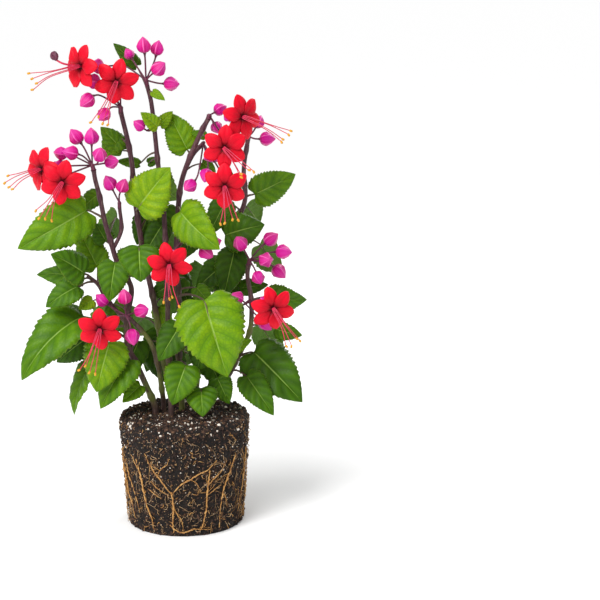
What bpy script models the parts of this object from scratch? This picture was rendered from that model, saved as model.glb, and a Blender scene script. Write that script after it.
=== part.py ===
"""A bleeding heart vine lifted out of its pot, standing on its bare root ball.

Metres, +Z up. The origin is the centre of the root ball's flat underside, and the
plant is seen from -Y. Places and sizes in the lists below are millimetres.
"""
import math
import random

import bmesh
import bpy
from mathutils import Matrix, Vector, noise
from mathutils.geometry import intersect_point_line

MM = 0.001
GAP = 0.3                   # clearance between neighbouring pieces

# Root ball, as turned out of a 12 cm pot
BALL_TOP_RADIUS = 57.0
BALL_FOOT_RADIUS = 50.0
BALL_HEIGHT = 97.0
BALL_STEPS = 26
BALL_ROWS = 5
CRUMB = 1.9                 # how far crumbs stand proud or fall back
HOLE_FLOOR = 86.0
HOLE_TOP = 104.0
ROOT_COUNT = 8
ROOT_RADIUS = 1.3

# Leaves
BLADE = 0.7                 # thickness of a leaf blade
LEAF_ROWS = 6
LEAF_COLUMNS = 2
SMALL_ROWS = 4
SMALL_COLUMNS = 2
PETIOLE = 1.0               # radius of a leaf stalk
TOOTH = 0.07                # depth of a tooth, as a share of the half width
WAVE = 0.1                  # how far the margin waves, as a share of the half width
CURL = 0.24                 # how far the margin turns down, as a share of the half width
LOBE = 0.11                 # how far the heart lobes reach back, as a share of the length

# Flowers and buds
PETAL = 0.7                 # thickness of a petal
PETALS = 6
PETAL_LAYER = 0.5           # every other petal lies this far in front, the rest behind
PETAL_LENGTH = 19.0
PETAL_WIDTH = 12.0
THROAT_RADIUS = 2.2
TUBE_LENGTH = 13.0
STAMENS = 4
FILAMENT = 0.55
ANTHER = 1.25
CALYX_LENGTH = 15.0
CALYX_RADIUS = 6.6
CALYX_RIBS = 5
CALYX_RINGS = 4
CALYX_MOUTH = math.cos(math.pi / CALYX_RINGS)
PEDICEL = 0.75

# Each stem: its foot radius, its tip radius and the points of its axis
STEMS = {
    "a": (3.0, 2.0, [(-26, -2, 104), (-33, -4, 123), (-41, -8, 144), (-48, -10, 162),
                     (-48, -8, 185), (-44, -6, 208), (-48, -6, 220), (-56, -6, 234),
                     (-61, -8, 253), (-65, -10, 269), (-69, -12, 292), (-72, -14, 306),
                     (-73, -16, 315)]),
    "b": (3.0, 2.2, [(-13, 24, 104), (-20, 22, 140), (-23, 21, 167), (-28, 19, 199),
                     (-32, 17, 220), (-36, 15, 244), (-40, 13, 275), (-42, 11, 298),
                     (-43, 10, 317), (-46, 7, 338), (-51, 4, 362)]),
    "c": (2.7, 2.0, [(-11, -10, 104), (-12, -7, 138), (-13, -5, 173), (-13, -3, 208),
                     (-14, -1, 243), (-16, 2, 284), (-20, 4, 318), (-23, 4, 353),
                     (-25, 4, 371), (-28, 4, 384)]),
    "d": (3.0, 2.2, [(-3, 10, 104), (-5, 10, 138), (-4, 9, 173), (-4, 8, 197),
                     (-6, 8, 233), (-5, 7, 252), (-3, 5, 282), (0, 3, 302),
                     (7, 0, 322), (18, -2, 346), (24, -4, 357)]),
    "e": (2.8, 2.0, [(20, 18, 104), (37, 22, 124), (43, 22, 135), (51, 22, 151),
                     (58, 20, 169), (59, 17, 195), (56, 14, 216), (57, 12, 228)]),
    "e_back": (2.8, 2.0, [(8, 36, 104), (12, 40, 135), (23, 42, 181), (35, 40, 227),
                          (48, 34, 265), (54, 28, 285), (53, 22, 310), (57, 14, 337)]),
    "f": (2.6, 2.0, [(-19, 8, 104), (-20, 3, 118), (-22, -5, 140), (-27, -12, 162),
                     (-35, -18, 176), (-44, -22, 187)]),
}

# Side shoots: the stem that carries them, their radius and their axis
SHOOTS = [
    ("a", 1.7, [(-59, -7, 245), (-52, -3, 261), (-53, -4, 281)]),
    ("a", 1.8, [(-48, -9, 181), (-65, -11, 202), (-72, -12, 215), (-81, -13, 223)]),
    ("d", 1.8, [(4, 2, 314), (10, 6, 325), (16, 8, 332)]),
]

# Large leaves: stem, place on it, blade base, blade tip, width, roll in degrees about the
# midrib, arch in degrees, and fold of the halves in degrees
LEAVES = {
    "leaf_01": ("b", (-40, 13, 275), (-37, -8, 281), (-8, -14, 317), 42, 0, 20, 8),
    "leaf_02": ("d", (-3, 5, 280), (-1, -8, 278), (34, -30, 249), 38, 25, 45, 10),
    "leaf_03": ("d", (-4, 8, 201), (20, -34, 206), (40, -44, 141), 60, 0, 40, 12),
    "leaf_04": ("a", (-66, -10, 272), (-80, -15, 280), (-138, -26, 249), 42, -20, 40, 12),
    "leaf_05": ("a", (-48, -10, 166), (-85, -14, 188), (-136, -40, 137), 46, 20, 70, 16),
    "leaf_06": ("a", (-77, -13, 220), (-82, -26, 228), (-108, -40, 247), 30, 15, 30, 12),
    "leaf_07": ("a", (-72, -12, 215), (-74, 2, 228), (-90, 14, 257), 28, 0, 30, 12),
    "leaf_08": ("a", (-77, -13, 220), (-87, -4, 219), (-126, -4, 222), 28, 30, 40, 12),
    "leaf_09": ("a", (-75, -12, 218), (-88, -24, 216), (-115, -30, 199), 26, 10, 40, 12),
    "leaf_10": ("a", (-48, -9, 178), (-80, 0, 168), (-112, 4, 142), 30, 0, 40, 10),
    "leaf_11": ("a", (-47, -10, 160), (-62, -24, 167), (-73, -34, 125), 40, 0, 35, 10),
    "leaf_12": ("a", (-41, -8, 144), (-82, -6, 141), (-96, -10, 98), 30, 50, 35, 20),
    "leaf_13": ("a", (-38, -7, 136), (-46, -18, 150), (-71, -26, 108), 34, 15, 40, 14),
    "leaf_15": ("b", (-37, 15, 247), (-35, -24, 251), (-33, -36, 222), 36, 0, 45, 10),
    "leaf_16": ("a", (-54, -6, 230), (-56, -20, 236), (-61, -26, 203), 28, 0, 30, 12),
    "leaf_19": ("d", (8, -1, 325), (5, 10, 329), (-12, 16, 361), 28, 0, 25, 12),
    "leaf_22": ("e_back", (54, 28, 285), (62, 32, 287), (98, 38, 304), 30, 20, 35, 14),
    "leaf_23": ("e_back", (48, 34, 265), (36, 24, 252), (71, 20, 262), 36, 0, 35, 10),
    "leaf_24": ("e_back", (38, 40, 236), (44, 26, 237), (35, 18, 198), 30, 0, 30, 10),
    "leaf_26": ("c", (-15, 2, 276), (-17, 26, 277), (-18, 36, 245), 28, 0, 30, 10),
    "leaf_28": ("e", (47, 22, 142), (61, 14, 149), (104, -8, 109), 46, 0, 40, 14),
    "leaf_28b": ("e", (41, 22, 130), (55, -5, 132), (79, -19, 100), 26, 0, 35, 14),
    "leaf_29": ("e", (59, 17, 195), (72, 20, 197), (108, 24, 194), 28, 40, 30, 12),
    "leaf_31": ("d", (-5, 10, 141), (3, -18, 145), (-8, -32, 113), 32, 0, 40, 12),
    "leaf_32": ("e", (22, 18, 105), (16, -16, 124), (18, -34, 103), 28, 0, 40, 8),
    "leaf_33": ("e", (28, 19, 112), (29, 4, 128), (40, -10, 108), 22, 0, 30, 10),
    "leaf_34": ("d", (-4, 9, 168), (-2, -16, 179), (-20, -24, 150), 28, 0, 30, 12),
    "leaf_35": ("d", (-5, 10, 150), (20, -2, 168), (12, -8, 137), 30, 0, 30, 10),
}

# Small leaves that are one piece with their stem, in the same order of values
SMALL_LEAVES = [
    ("c", (-25, 4, 371), (-38, 20, 400), (-58, 22, 419), 14, 0, 20, 14),
    ("c", (-27, 4, 379), (-23, -4, 380), (-12, -9, 373), 8, 0, 20, 14),
    ("c", (-23, 4, 352), (-19, -3, 350), (-33, -9, 363), 14, 0, 25, 14),
    ("c", (-23, 4, 350), (-18, 10, 350), (-7, 10, 362), 12, 0, 25, 14),
    ("b", (-43, 9, 327), (-51, 14, 328), (-70, 16, 348), 20, 0, 25, 12),
    ("a", (-30, -3, 115), (-37, -14, 126), (-52, -24, 113), 16, 0, 25, 12),
    ("d", (-4, 8, 206), (12, 0, 210), (26, -6, 194), 16, 0, 30, 14),
    ("e", (58, 19, 172), (80, 14, 170), (104, 10, 165), 18, 30, 30, 12),
    ("a", (-65, -11, 202), (-76, -20, 203), (-88, -24, 196), 14, 0, 25, 12),
    ("a", (-60, -8, 246), (-66, 4, 250), (-76, 14, 264), 20, 0, 25, 12),
    ("b", (-32, 17, 220), (-44, 34, 228), (-66, 52, 212), 32, 150, 40, 12),
    ("b", (-37, 15, 250), (-30, 36, 262), (-16, 58, 250), 32, 180, 40, 12),
    ("b", (-23, 21, 167), (-36, 38, 176), (-58, 56, 152), 34, 150, 45, 12),
    ("e_back", (12, 40, 135), (2, 54, 146), (-16, 70, 122), 34, 160, 45, 12),
    ("e_back", (20, 42, 170), (30, 58, 182), (50, 72, 160), 34, 200, 45, 12),
    ("e_back", (28, 41, 200), (18, 58, 212), (2, 72, 192), 34, 170, 45, 12),
    ("e_back", (48, 34, 265), (54, 48, 274), (66, 64, 256), 30, 200, 40, 12),
]

# Blooms: throat, way it faces, turn of its first petal in degrees, and where its
# stamens reach to, measured from the throat
BLOOMS = {
    "bloom_01": ((-82, -16, 402), (-0.62, -0.78, 0.04), 65, (-40, -16, -12)),
    "bloom_02": ((-52, -16, 389), (0.0, -0.98, -0.12), 75, (-14, -14, -34)),
    "bloom_03": ((-117, -20, 316), (-0.66, -0.75, 0.0), 70, (-28, -12, -12)),
    "bloom_04": ((-97, -36, 307), (-0.05, -0.98, -0.1), 75, (-18, -14, -30)),
    "bloom_05": ((54, -20, 360), (0.55, -0.83, 0.02), 105, (40, -14, -16)),
    "bloom_06": ((39, -34, 336), (0.0, -1.0, -0.05), 88, (20, -16, -22)),
    "bloom_07": ((39, -38, 304), (0.05, -0.98, -0.1), 87, (4, -14, -30)),
    "bloom_08": ((-8, -42, 238), (0.0, -0.97, -0.15), 105, (2, -14, -32)),
    "bloom_09": ((-67, -50, 184), (0.0, -0.97, -0.15), 92, (-10, -14, -36)),
    "bloom_10": ((79, -32, 198), (0.3, -0.93, -0.1), 104, (20, -14, -30)),
}

# Sprays of calyces: stem, hub of the spray, what the hub sits on (the stem's tip or its
# side), the buds as (place, way the bud points, size), and the blooms the spray carries
SPRAYS = {
    "spray_01": ("c", "tip", (-29, 4, 389), [
        ((-30, 0, 419), (-0.1, 0, 1), 0.95), ((-19, 8, 416), (0.2, 0.1, 1), 0.9),
        ((-17, -4, 400), (0.7, -0.3, 0.6), 1.0), ((-7, 2, 386), (1, -0.2, 0), 0.95),
        ((-44, 12, 411), (-0.5, 0.3, 0.8), 0.7)], ["bloom_01"]),
    "spray_02": ("b", "tip", (-51, 4, 366), [
        ((-74, -4, 389), (-0.9, -0.4, 0.2), 1.0), ((-78, -12, 373), (-0.7, -0.4, -0.6), 1.0),
        ((-64, -11, 361), (-0.5, -0.5, -0.6), 0.9), ((-62, 18, 388), (-0.3, 0.6, 0.7), 0.9)],
        ["bloom_02"]),
    "spray_03": ("a", "tip", (-74, -16, 319), [
        ((-88, -10, 343), (-0.6, 0.1, 0.8), 1.0), ((-74, -18, 344), (0, -0.1, 1), 1.0),
        ((-91, -26, 331), (-0.8, -0.4, 0.2), 0.95), ((-102, -6, 328), (-1, 0.3, 0.1), 0.9),
        ((-66, -28, 330), (0.2, -0.5, 0.8), 0.95), ((-57, -18, 322), (0.9, -0.4, 0.2), 0.9)],
        ["bloom_03", "bloom_04"]),
    "spray_04": ("a_shoot", "tip", (-53, -4, 285), [
        ((-61, -8, 303), (-0.4, -0.2, 0.9), 0.95), ((-49, -10, 301), (0.4, -0.3, 0.9), 0.9)], []),
    "spray_05": ("d", "tip", (25, -4, 360), [
        ((34, 8, 364), (0.8, 0.4, 0.4), 0.85), ((31, 6, 348), (0.5, 0.1, -0.8), 0.8)],
        ["bloom_06"]),
    "spray_06": ("d_shoot", "tip", (19, 8, 335), [
        ((25, -12, 327), (-0.1, -0.8, 0.4), 0.85), ((30, 16, 322), (0.6, 0.5, -0.2), 0.85),
        ((22, -10, 309), (-0.2, -0.6, -0.7), 0.9), ((8, -14, 301), (-0.6, -0.6, -0.4), 0.9)],
        ["bloom_07"]),
    "spray_07": ("d", "side", (4, -2, 256), [
        ((22, -14, 243), (0.6, -0.5, -0.3), 1.0), ((28, -2, 250), (0.9, 0, 0.3), 0.9),
        ((17, -8, 262), (0.4, -0.3, 0.8), 0.85)], ["bloom_08"]),
    "spray_08": ("e_back", "tip", (58, 13, 340), [
        ((74, 12, 338), (1, 0.1, 0), 0.95), ((66, 22, 352), (0.4, 0.5, 0.8), 0.85)],
        ["bloom_05"]),
    "spray_09": ("e", "tip", (58, 11, 232), [
        ((77, 12, 251), (0.8, 0, 0.6), 1.0), ((88, 2, 241), (1, -0.3, 0), 1.0),
        ((73, -8, 236), (0.4, -0.8, 0.2), 1.0), ((84, 8, 222), (0.7, 0, -0.7), 1.0),
        ((66, -4, 219), (0.3, -0.7, -0.6), 0.9), ((50, 2, 249), (-0.4, -0.4, 0.8), 1.0)], []),
    "spray_10": ("e", "side", (54, 8, 194), [
        ((47, -8, 203), (-0.6, -0.6, 0.5), 0.9), ((72, 4, 176), (0.7, 0, -0.7), 0.95)],
        ["bloom_10"]),
    "spray_11": ("f", "tip", (-47, -24, 190), [
        ((-48, -28, 208), (0, -0.2, 1), 0.95), ((-33, -30, 196), (0.8, -0.4, 0.3), 0.95),
        ((-41, -36, 174), (0.2, -0.5, -0.9), 1.0), ((-68, -22, 204), (-0.7, 0, 0.6), 0.9)],
        ["bloom_09"]),
    "spray_12": ("c", "side", (-27, -1, 347), [((-35, -5, 352), (-0.7, -0.4, 0.6), 0.8)], []),
}

# Where a flower's stalk passes on its way from the hub, if it has to go round something
ROUNDABOUT = {"bloom_01": (-48, 17, 400)}

COLLECTION = "bleeding_heart_vine"
SOIL_COLOUR = (0.045, 0.026, 0.014)
STEM_COLOUR = (0.13, 0.045, 0.045)
LEAF_COLOUR = (0.08, 0.24, 0.02)
PETAL_COLOUR = (0.88, 0.012, 0.025)
CALYX_COLOUR = (0.66, 0.02, 0.32)


def clear_scene():
    for item in list(bpy.data.objects):
        bpy.data.objects.remove(item, do_unlink=True)


def material(name, colour, roughness):
    made = bpy.data.materials.new(name)
    made.use_nodes = True
    shader = made.node_tree.nodes["Principled BSDF"]
    shader.inputs["Base Color"].default_value = (*colour, 1.0)
    shader.inputs["Roughness"].default_value = roughness
    return made


def link(mesh, collection):
    piece = bpy.data.objects.new(mesh.name, mesh)
    collection.objects.link(piece)
    return piece


def bake(piece, collection):
    """The piece as its modifiers or its bevel make it, as a welded mesh object."""
    mesh = evaluated_mesh(piece)
    bm = bmesh.new()
    bm.from_mesh(mesh)
    bmesh.ops.remove_doubles(bm, verts=bm.verts, dist=0.00001)
    bm.to_mesh(mesh)
    bm.free()
    baked = link(mesh, collection)
    baked.matrix_world = piece.matrix_world.copy()
    bpy.data.objects.remove(piece, do_unlink=True)
    return baked


def tube(points, radii, resolution, collection):
    """A round stalk along points, with a radius for each point."""
    curve = bpy.data.curves.new("stalk", "CURVE")
    curve.dimensions = "3D"
    curve.bevel_depth = MM
    curve.bevel_resolution = resolution
    curve.use_fill_caps = True
    spline = curve.splines.new("POLY")
    spline.points.add(len(points) - 1)
    for knot, place, radius in zip(spline.points, points, radii):
        knot.co = (*(Vector(place) * MM), 1.0)
        knot.radius = radius
    return bake(link(curve, collection), collection)


def evaluated_mesh(piece):
    bpy.context.view_layer.update()
    depsgraph = bpy.context.evaluated_depsgraph_get()
    return bpy.data.meshes.new_from_object(piece.evaluated_get(depsgraph))


def closed(mesh):
    """Whether every edge has a face on each side."""
    bm = bmesh.new()
    bm.from_mesh(mesh)
    whole = all(len(edge.link_faces) == 2 for edge in bm.edges)
    bm.free()
    return whole


def keep_outer_shell(mesh):
    """Fills hollows that joining has sealed, and drops loose scraps."""
    bm = bmesh.new()
    bm.from_mesh(mesh)
    left = set(bm.faces)
    shells = []
    while left:
        shell = [left.pop()]
        rim = list(shell)
        while rim:
            for edge in rim.pop().edges:
                if len(edge.link_faces) != 2:
                    continue
                for face in edge.link_faces:
                    if face in left:
                        left.remove(face)
                        shell.append(face)
                        rim.append(face)
        shells.append(shell)
    shells.sort(key=len)
    for shell in shells[:-1]:
        bmesh.ops.delete(bm, geom=shell, context="FACES")
    bm.to_mesh(mesh)
    bm.free()


def fuse(name, pieces, skin, plant):
    """Joins overlapping pieces into one body."""
    body = pieces[0]
    if len(pieces) > 1:
        rest = bpy.data.collections.new("joined")
        for piece in pieces[1:]:
            rest.objects.link(piece)
        union = body.modifiers.new("union", "BOOLEAN")
        union.operation = "UNION"
        union.operand_type = "COLLECTION"
        union.collection = rest
        union.solver = "MANIFOLD"
        mesh = evaluated_mesh(body)
        keep_outer_shell(mesh)
        for piece in pieces:
            bpy.data.objects.remove(piece, do_unlink=True)
        bpy.data.collections.remove(rest)
    else:
        mesh = body.data
        bpy.data.objects.remove(body, do_unlink=True)
    mesh.name = name
    mesh.materials.clear()
    mesh.materials.append(skin)
    return link(mesh, plant)


def seat(stem, near):
    """The point of a stem's axis closest to a place, with its direction and radius."""
    foot, tip, points = stem
    near = Vector(near)
    best = None
    for index in range(len(points) - 1):
        start = Vector(points[index])
        end = Vector(points[index + 1])
        on_line, share = intersect_point_line(near, start, end)
        share = min(max(share, 0.0), 1.0)
        on_line = start.lerp(end, share)
        distance = (near - on_line).length
        if best is None or distance < best[0]:
            along = (index + share) / (len(points) - 1)
            best = (distance, on_line, (end - start).normalized(), foot + (tip - foot) * along)
    return best[1:]


def side_start(stem, near, toward):
    """Two points that lead squarely away from a stem's side, clear of its bark."""
    point, direction, radius = seat(stem, near)
    out = Vector(toward) - point
    out = (out - direction * out.dot(direction)).normalized()
    return point + out * (radius + GAP), point + out * (radius + GAP + 3.0)


def inner_start(stem, near, toward):
    point = seat(stem, near)[0]
    return point, point.lerp(Vector(toward), 0.3)


def half_width(share):
    """Half the width of a heart-shaped leaf, as a share of its greatest half width."""
    widest = 0.3
    if share < widest:
        return 0.62 + 0.38 * math.sin(math.pi / 2 * share / widest)
    rest = (share - widest) / (1.0 - widest)
    return (1.0 - rest) ** 1.1 * (1.0 + 0.9 * rest)


def leaf_frame(base, tip, roll):
    base = Vector(base)
    tip = Vector(tip)
    along = (tip - base).normalized()
    face = Vector((0.0, -1.0, 0.45))
    face = (face - along * face.dot(along)).normalized()
    face = Matrix.Rotation(math.radians(roll), 3, along) @ face
    return along, face, along.cross(face)


def leaf_place(base, tip, roll, arch, along_share, side, lift):
    """A point of an arched leaf: share of its length, distance to the side, and lift."""
    along, face, across = leaf_frame(base, tip, roll)
    length = (Vector(tip) - Vector(base)).length
    turn = math.radians(arch)
    radius = length / (2.0 * math.sin(turn / 2.0))
    angle = turn * (along_share - 0.5)
    forward = radius * (math.sin(angle) + math.sin(turn / 2.0)) + lift * math.sin(angle)
    up = radius * (math.cos(angle) - math.cos(turn / 2.0)) + lift * math.cos(angle)
    return Vector(base) + along * forward + across * side + face * up


def leaf_blade(base, tip, width, roll, arch, fold, rows, columns, draw, collection):
    """A toothed, folded and waved heart-shaped blade."""
    bm = bmesh.new()
    bmesh.ops.create_grid(bm, x_segments=rows, y_segments=columns, size=1.0)
    rise = math.tan(math.radians(fold))
    phase = draw.uniform(0.0, math.tau)
    for vert in bm.verts:
        share = (vert.co.x + 1.0) / 2.0
        side = vert.co.y
        row = round(share * rows)
        midrib = share ** 1.35
        margin = -LOBE + (1.0 + LOBE) * share
        reach = half_width(share) * width / 2.0
        if abs(side) > 0.99 and row % 2 == 1:
            reach *= 1.0 - TOOTH
        place = midrib + (margin - midrib) * abs(side) ** 1.3
        wave = WAVE * side * side * math.sin(phase + 3.0 * math.pi * share)
        lift = reach * (rise * abs(side) - CURL * side ** 4 + wave)
        vert.co = leaf_place(base, tip, roll, arch, place, side * reach, lift) * MM
    bmesh.ops.remove_doubles(bm, verts=bm.verts, dist=0.00005)
    bmesh.ops.triangulate(bm, faces=bm.faces)
    bmesh.ops.recalc_face_normals(bm, faces=bm.faces)
    mesh = bpy.data.meshes.new("blade")
    bm.to_mesh(mesh)
    bm.free()
    piece = link(mesh, collection)
    wall = piece.modifiers.new("thickness", "SOLIDIFY")
    wall.thickness = BLADE * MM
    wall.offset = 0.0
    return bake(piece, collection)


def leaf_pieces(row, start, rows, columns, draw, collection):
    """A blade and the stalk that carries it."""
    _stem, _near, base, tip, width, roll, arch, fold = row
    blade = leaf_blade(base, tip, width, roll, arch, fold, rows, columns, draw, collection)
    inner = leaf_place(base, tip, roll, arch, 0.04, 0.0, 0.0)
    stalk = tube([start[0], start[1], inner], [PETIOLE, PETIOLE, PETIOLE * 0.8], 0, collection)
    return [blade, stalk]


def make_stem(key, draw, skin, plant, parts):
    """A stem with its side shoots and the small leaves that it bears."""
    foot, tip, points = STEMS[key]
    axis = [(points[0][0], points[0][1], HOLE_FLOOR + GAP), *points]
    radii = [foot + (tip - foot) * index / (len(axis) - 1) for index in range(len(axis))]
    pieces = [tube(axis, radii, 1, parts)]
    for carrier, radius, route in SHOOTS:
        if carrier == key:
            pieces.append(tube(route, [radius] * len(route), 1, parts))
    for row in SMALL_LEAVES:
        if row[0] == key:
            start = inner_start(nearest_axis(key, row[1]), row[1], row[2])
            pieces += leaf_pieces(row, start, SMALL_ROWS, SMALL_COLUMNS, draw, parts)
    fuse(f"stem_{key}", pieces, skin, plant)


def nearest_axis(key, near):
    """The stem, or the shoot of it, that passes closest to a place."""
    choices = [STEMS[key]]
    choices += [(radius, radius, route) for carrier, radius, route in SHOOTS if carrier == key]
    return min(choices, key=lambda stem: (seat(stem, near)[0] - Vector(near)).length)


def bloom_frame(facing):
    facing = Vector(facing).normalized()
    up = Vector((0.0, 0.0, 1.0))
    up = (up - facing * up.dot(facing)).normalized()
    return facing, up, up.cross(facing)


def petal(throat, facing, turn, layer, collection):
    """One ovate petal, spread square to the throat and rolled back at its tip."""
    forward, up, right = bloom_frame(facing)
    out = right * math.cos(turn) + up * math.sin(turn)
    side_way = out.cross(forward)
    bm = bmesh.new()
    bmesh.ops.create_grid(bm, x_segments=3, y_segments=2, size=1.0)
    stations = [(0.0, 0.18), (0.42, 0.96), (0.76, 0.8), (1.0, 0.0)]
    for vert in bm.verts:
        row = round((vert.co.x + 1.0) / 2.0 * 3)
        share, breadth = stations[row]
        side = vert.co.y * breadth * PETAL_WIDTH / 2.0
        reach = THROAT_RADIUS * 0.6 + share * PETAL_LENGTH
        lift = 2.5 * math.sin(math.pi * share * 0.9) - 2.2 * share * share
        lift += layer - 0.6 * vert.co.y ** 2
        vert.co = (Vector(throat) + out * reach + side_way * side + forward * lift) * MM
    bmesh.ops.remove_doubles(bm, verts=bm.verts, dist=0.00005)
    bmesh.ops.triangulate(bm, faces=bm.faces)
    bmesh.ops.recalc_face_normals(bm, faces=bm.faces)
    mesh = bpy.data.meshes.new("petal")
    bm.to_mesh(mesh)
    bm.free()
    piece = link(mesh, collection)
    wall = piece.modifiers.new("thickness", "SOLIDIFY")
    wall.thickness = PETAL * MM
    wall.offset = 0.0
    return bake(piece, collection)


def make_bloom(name, row, draw, skin, plant, parts):
    """Tube, petals and the long stamens of one open flower."""
    throat, facing, turn, reach = row
    throat = Vector(throat)
    forward = bloom_frame(facing)[0]
    pieces = [tube([throat - forward * TUBE_LENGTH, throat - forward * 3.0, throat + forward],
                   [1.6, 1.8, THROAT_RADIUS + 0.6], 0, parts)]
    for index in range(PETALS):
        angle = math.radians(turn - index * 360 / PETALS)
        layer = PETAL_LAYER if index % 2 else -PETAL_LAYER
        pieces.append(petal(throat, facing, angle, layer, parts))
    reach = Vector(reach)
    spread = reach.cross(forward).normalized()
    for index in range(STAMENS):
        aside = (index - (STAMENS - 1) / 2.0) * 4.5
        end = throat + reach * draw.uniform(0.84, 1.0) + spread * aside
        middle = throat.lerp(end, 0.45) + forward * (7.0 + draw.uniform(0.0, 3.0))
        last = (end - middle).normalized()
        route = [throat - forward + spread * aside * 0.12, middle, end,
                 end + last * 1.4, end + last * 2.8]
        radii = [FILAMENT, FILAMENT, FILAMENT, ANTHER, FILAMENT]
        pieces.append(tube(route, radii, 0, parts))
    fuse(name, pieces, skin, plant)


def calyx(place, facing, size, open_mouth, collection):
    """A puffed, five-ribbed calyx round its middle, pointed or cut flat for a flower."""
    bm = bmesh.new()
    bmesh.ops.create_uvsphere(bm, u_segments=CALYX_RIBS, v_segments=CALYX_RINGS, radius=1.0)
    length = CALYX_LENGTH * size / 2.0
    radius = CALYX_RADIUS * size
    for vert in bm.verts:
        height = vert.co.z
        narrow = 1.0 - 0.22 * height
        if open_mouth and height > 0.99:
            height = CALYX_MOUTH
        vert.co = Vector((vert.co.x * radius * narrow, vert.co.y * radius * narrow,
                          height * length))
    bmesh.ops.recalc_face_normals(bm, faces=bm.faces)
    mesh = bpy.data.meshes.new("calyx")
    bm.to_mesh(mesh)
    bm.free()
    piece = link(mesh, collection)
    turned = Vector(facing).to_track_quat("Z", "Y").to_matrix().to_4x4()
    piece.matrix_world = Matrix.Translation(Vector(place) * MM) @ turned @ Matrix.Scale(MM, 4)
    return bake_place(piece)


def bake_place(piece):
    piece.data.transform(piece.matrix_world)
    piece.matrix_world = Matrix.Identity(4)
    return piece


def spray_axis(key):
    """The stem or shoot that a spray stands on."""
    if key.endswith("_shoot"):
        matching = [shoot for shoot in SHOOTS if shoot[0] == key[0]]
        _carrier, radius, route = matching[0]
        return (radius, radius, route)
    return STEMS[key]


def make_spray(name, row, skin, plant, parts):
    """Stalks that part at a hub, each with its calyx."""
    key, where, hub, buds, flowers = row
    stem = spray_axis(key)
    hub = Vector(hub)
    if where == "tip":
        end = Vector(stem[2][-1])
        way = (end - Vector(stem[2][-2])).normalized()
        start = end + way * GAP
        thick = stem[1] * 0.9
        route = [start, start + way * 1.5, hub + (hub - start).normalized() * 1.5]
    else:
        thick = 1.3
        route = [*side_start(stem, hub, hub), hub]
    pieces = [tube(route, [thick, thick, thick * 0.8], 1, parts)]
    cups = [(Vector(place), Vector(way), size, False, []) for place, way, size in buds]
    for flower in flowers:
        throat, facing, _turn, _reach = BLOOMS[flower]
        forward = Vector(facing).normalized()
        top = CALYX_MOUTH * CALYX_LENGTH / 2.0
        centre = Vector(throat) - forward * (TUBE_LENGTH + GAP + top)
        passes = [Vector(ROUNDABOUT[flower])] if flower in ROUNDABOUT else []
        cups.append((centre, forward, 1.0, True, passes))
    for place, way, size, open_mouth, passes in cups:
        way = way.normalized()
        foot = place - way * CALYX_LENGTH * size * 0.36
        bend = place - way * CALYX_LENGTH * size * 0.72
        bend = bend.lerp(passes[0] if passes else hub, 0.2)
        route = [hub, *passes, bend, foot]
        pieces.append(tube(route, [PEDICEL] * len(route), 0, parts))
        pieces.append(calyx(place, way, size, open_mouth, parts))
    fuse(name, pieces, skin, plant)


def ball_radius(height):
    share = height / BALL_HEIGHT
    return BALL_FOOT_RADIUS + (BALL_TOP_RADIUS - BALL_FOOT_RADIUS) * share


def soil_body(collection):
    """The turned block of soil, with its crumbs raised by a noise formula."""
    profile = [(0.0, BALL_HEIGHT), (20.0, BALL_HEIGHT), (40.0, BALL_HEIGHT),
               (BALL_TOP_RADIUS - 3.0, BALL_HEIGHT - 1.0)]
    for index in range(BALL_ROWS + 1):
        height = (BALL_HEIGHT - 5.0) * (1.0 - index / BALL_ROWS)
        profile.append((ball_radius(height), height))
    profile += [(30.0, 0.0), (0.0, 0.0)]
    mesh = bpy.data.meshes.new("soil_profile")
    places = [(radius * MM, 0.0, height * MM) for radius, height in profile]
    mesh.from_pydata(places, [(i, i + 1) for i in range(len(places) - 1)], [])
    piece = link(mesh, collection)
    turn = piece.modifiers.new("turn", "SCREW")
    turn.steps = BALL_STEPS
    turn.render_steps = BALL_STEPS
    turn.use_merge_vertices = True
    turn.merge_threshold = 0.0001
    piece = bake(piece, collection)
    for vert in piece.data.vertices:
        if vert.co.z < 0.001:
            continue
        crumb = noise.noise(vert.co / (9.0 * MM)) + 0.6 * noise.noise(vert.co / (4.0 * MM))
        flat = Vector((vert.co.x, vert.co.y, 0.0))
        top = vert.co.z > (BALL_HEIGHT - 2.0) * MM
        way = Vector((0.0, 0.0, 1.0)) if top else flat.normalized()
        vert.co += way * crumb * CRUMB * MM
    return piece


def surface_root(index, draw, collection):
    """A root that runs down the outside of the ball in a loose wave."""
    angle = math.tau * index / ROOT_COUNT + draw.uniform(-0.15, 0.15)
    top = draw.uniform(45.0, 70.0)
    foot = draw.uniform(6.0, 20.0)
    sway = draw.uniform(0.1, 0.28) * draw.choice((-1, 1))
    phase = draw.uniform(0.0, math.tau)
    steps = 6
    route = []
    for step in range(steps + 1):
        share = step / steps
        height = top + (foot - top) * share
        turn = angle + sway * math.sin(phase + 3.4 * share)
        sunk = 2.4 if step in (0, steps) else 0.0
        reach = ball_radius(height) + 0.5 - sunk
        route.append((reach * math.cos(turn), reach * math.sin(turn), height))
    thick = draw.uniform(0.7, 1.0) * ROOT_RADIUS
    return tube(route, [thick * (1.0 - 0.4 * step / steps) for step in range(steps + 1)],
                0, collection)


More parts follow.
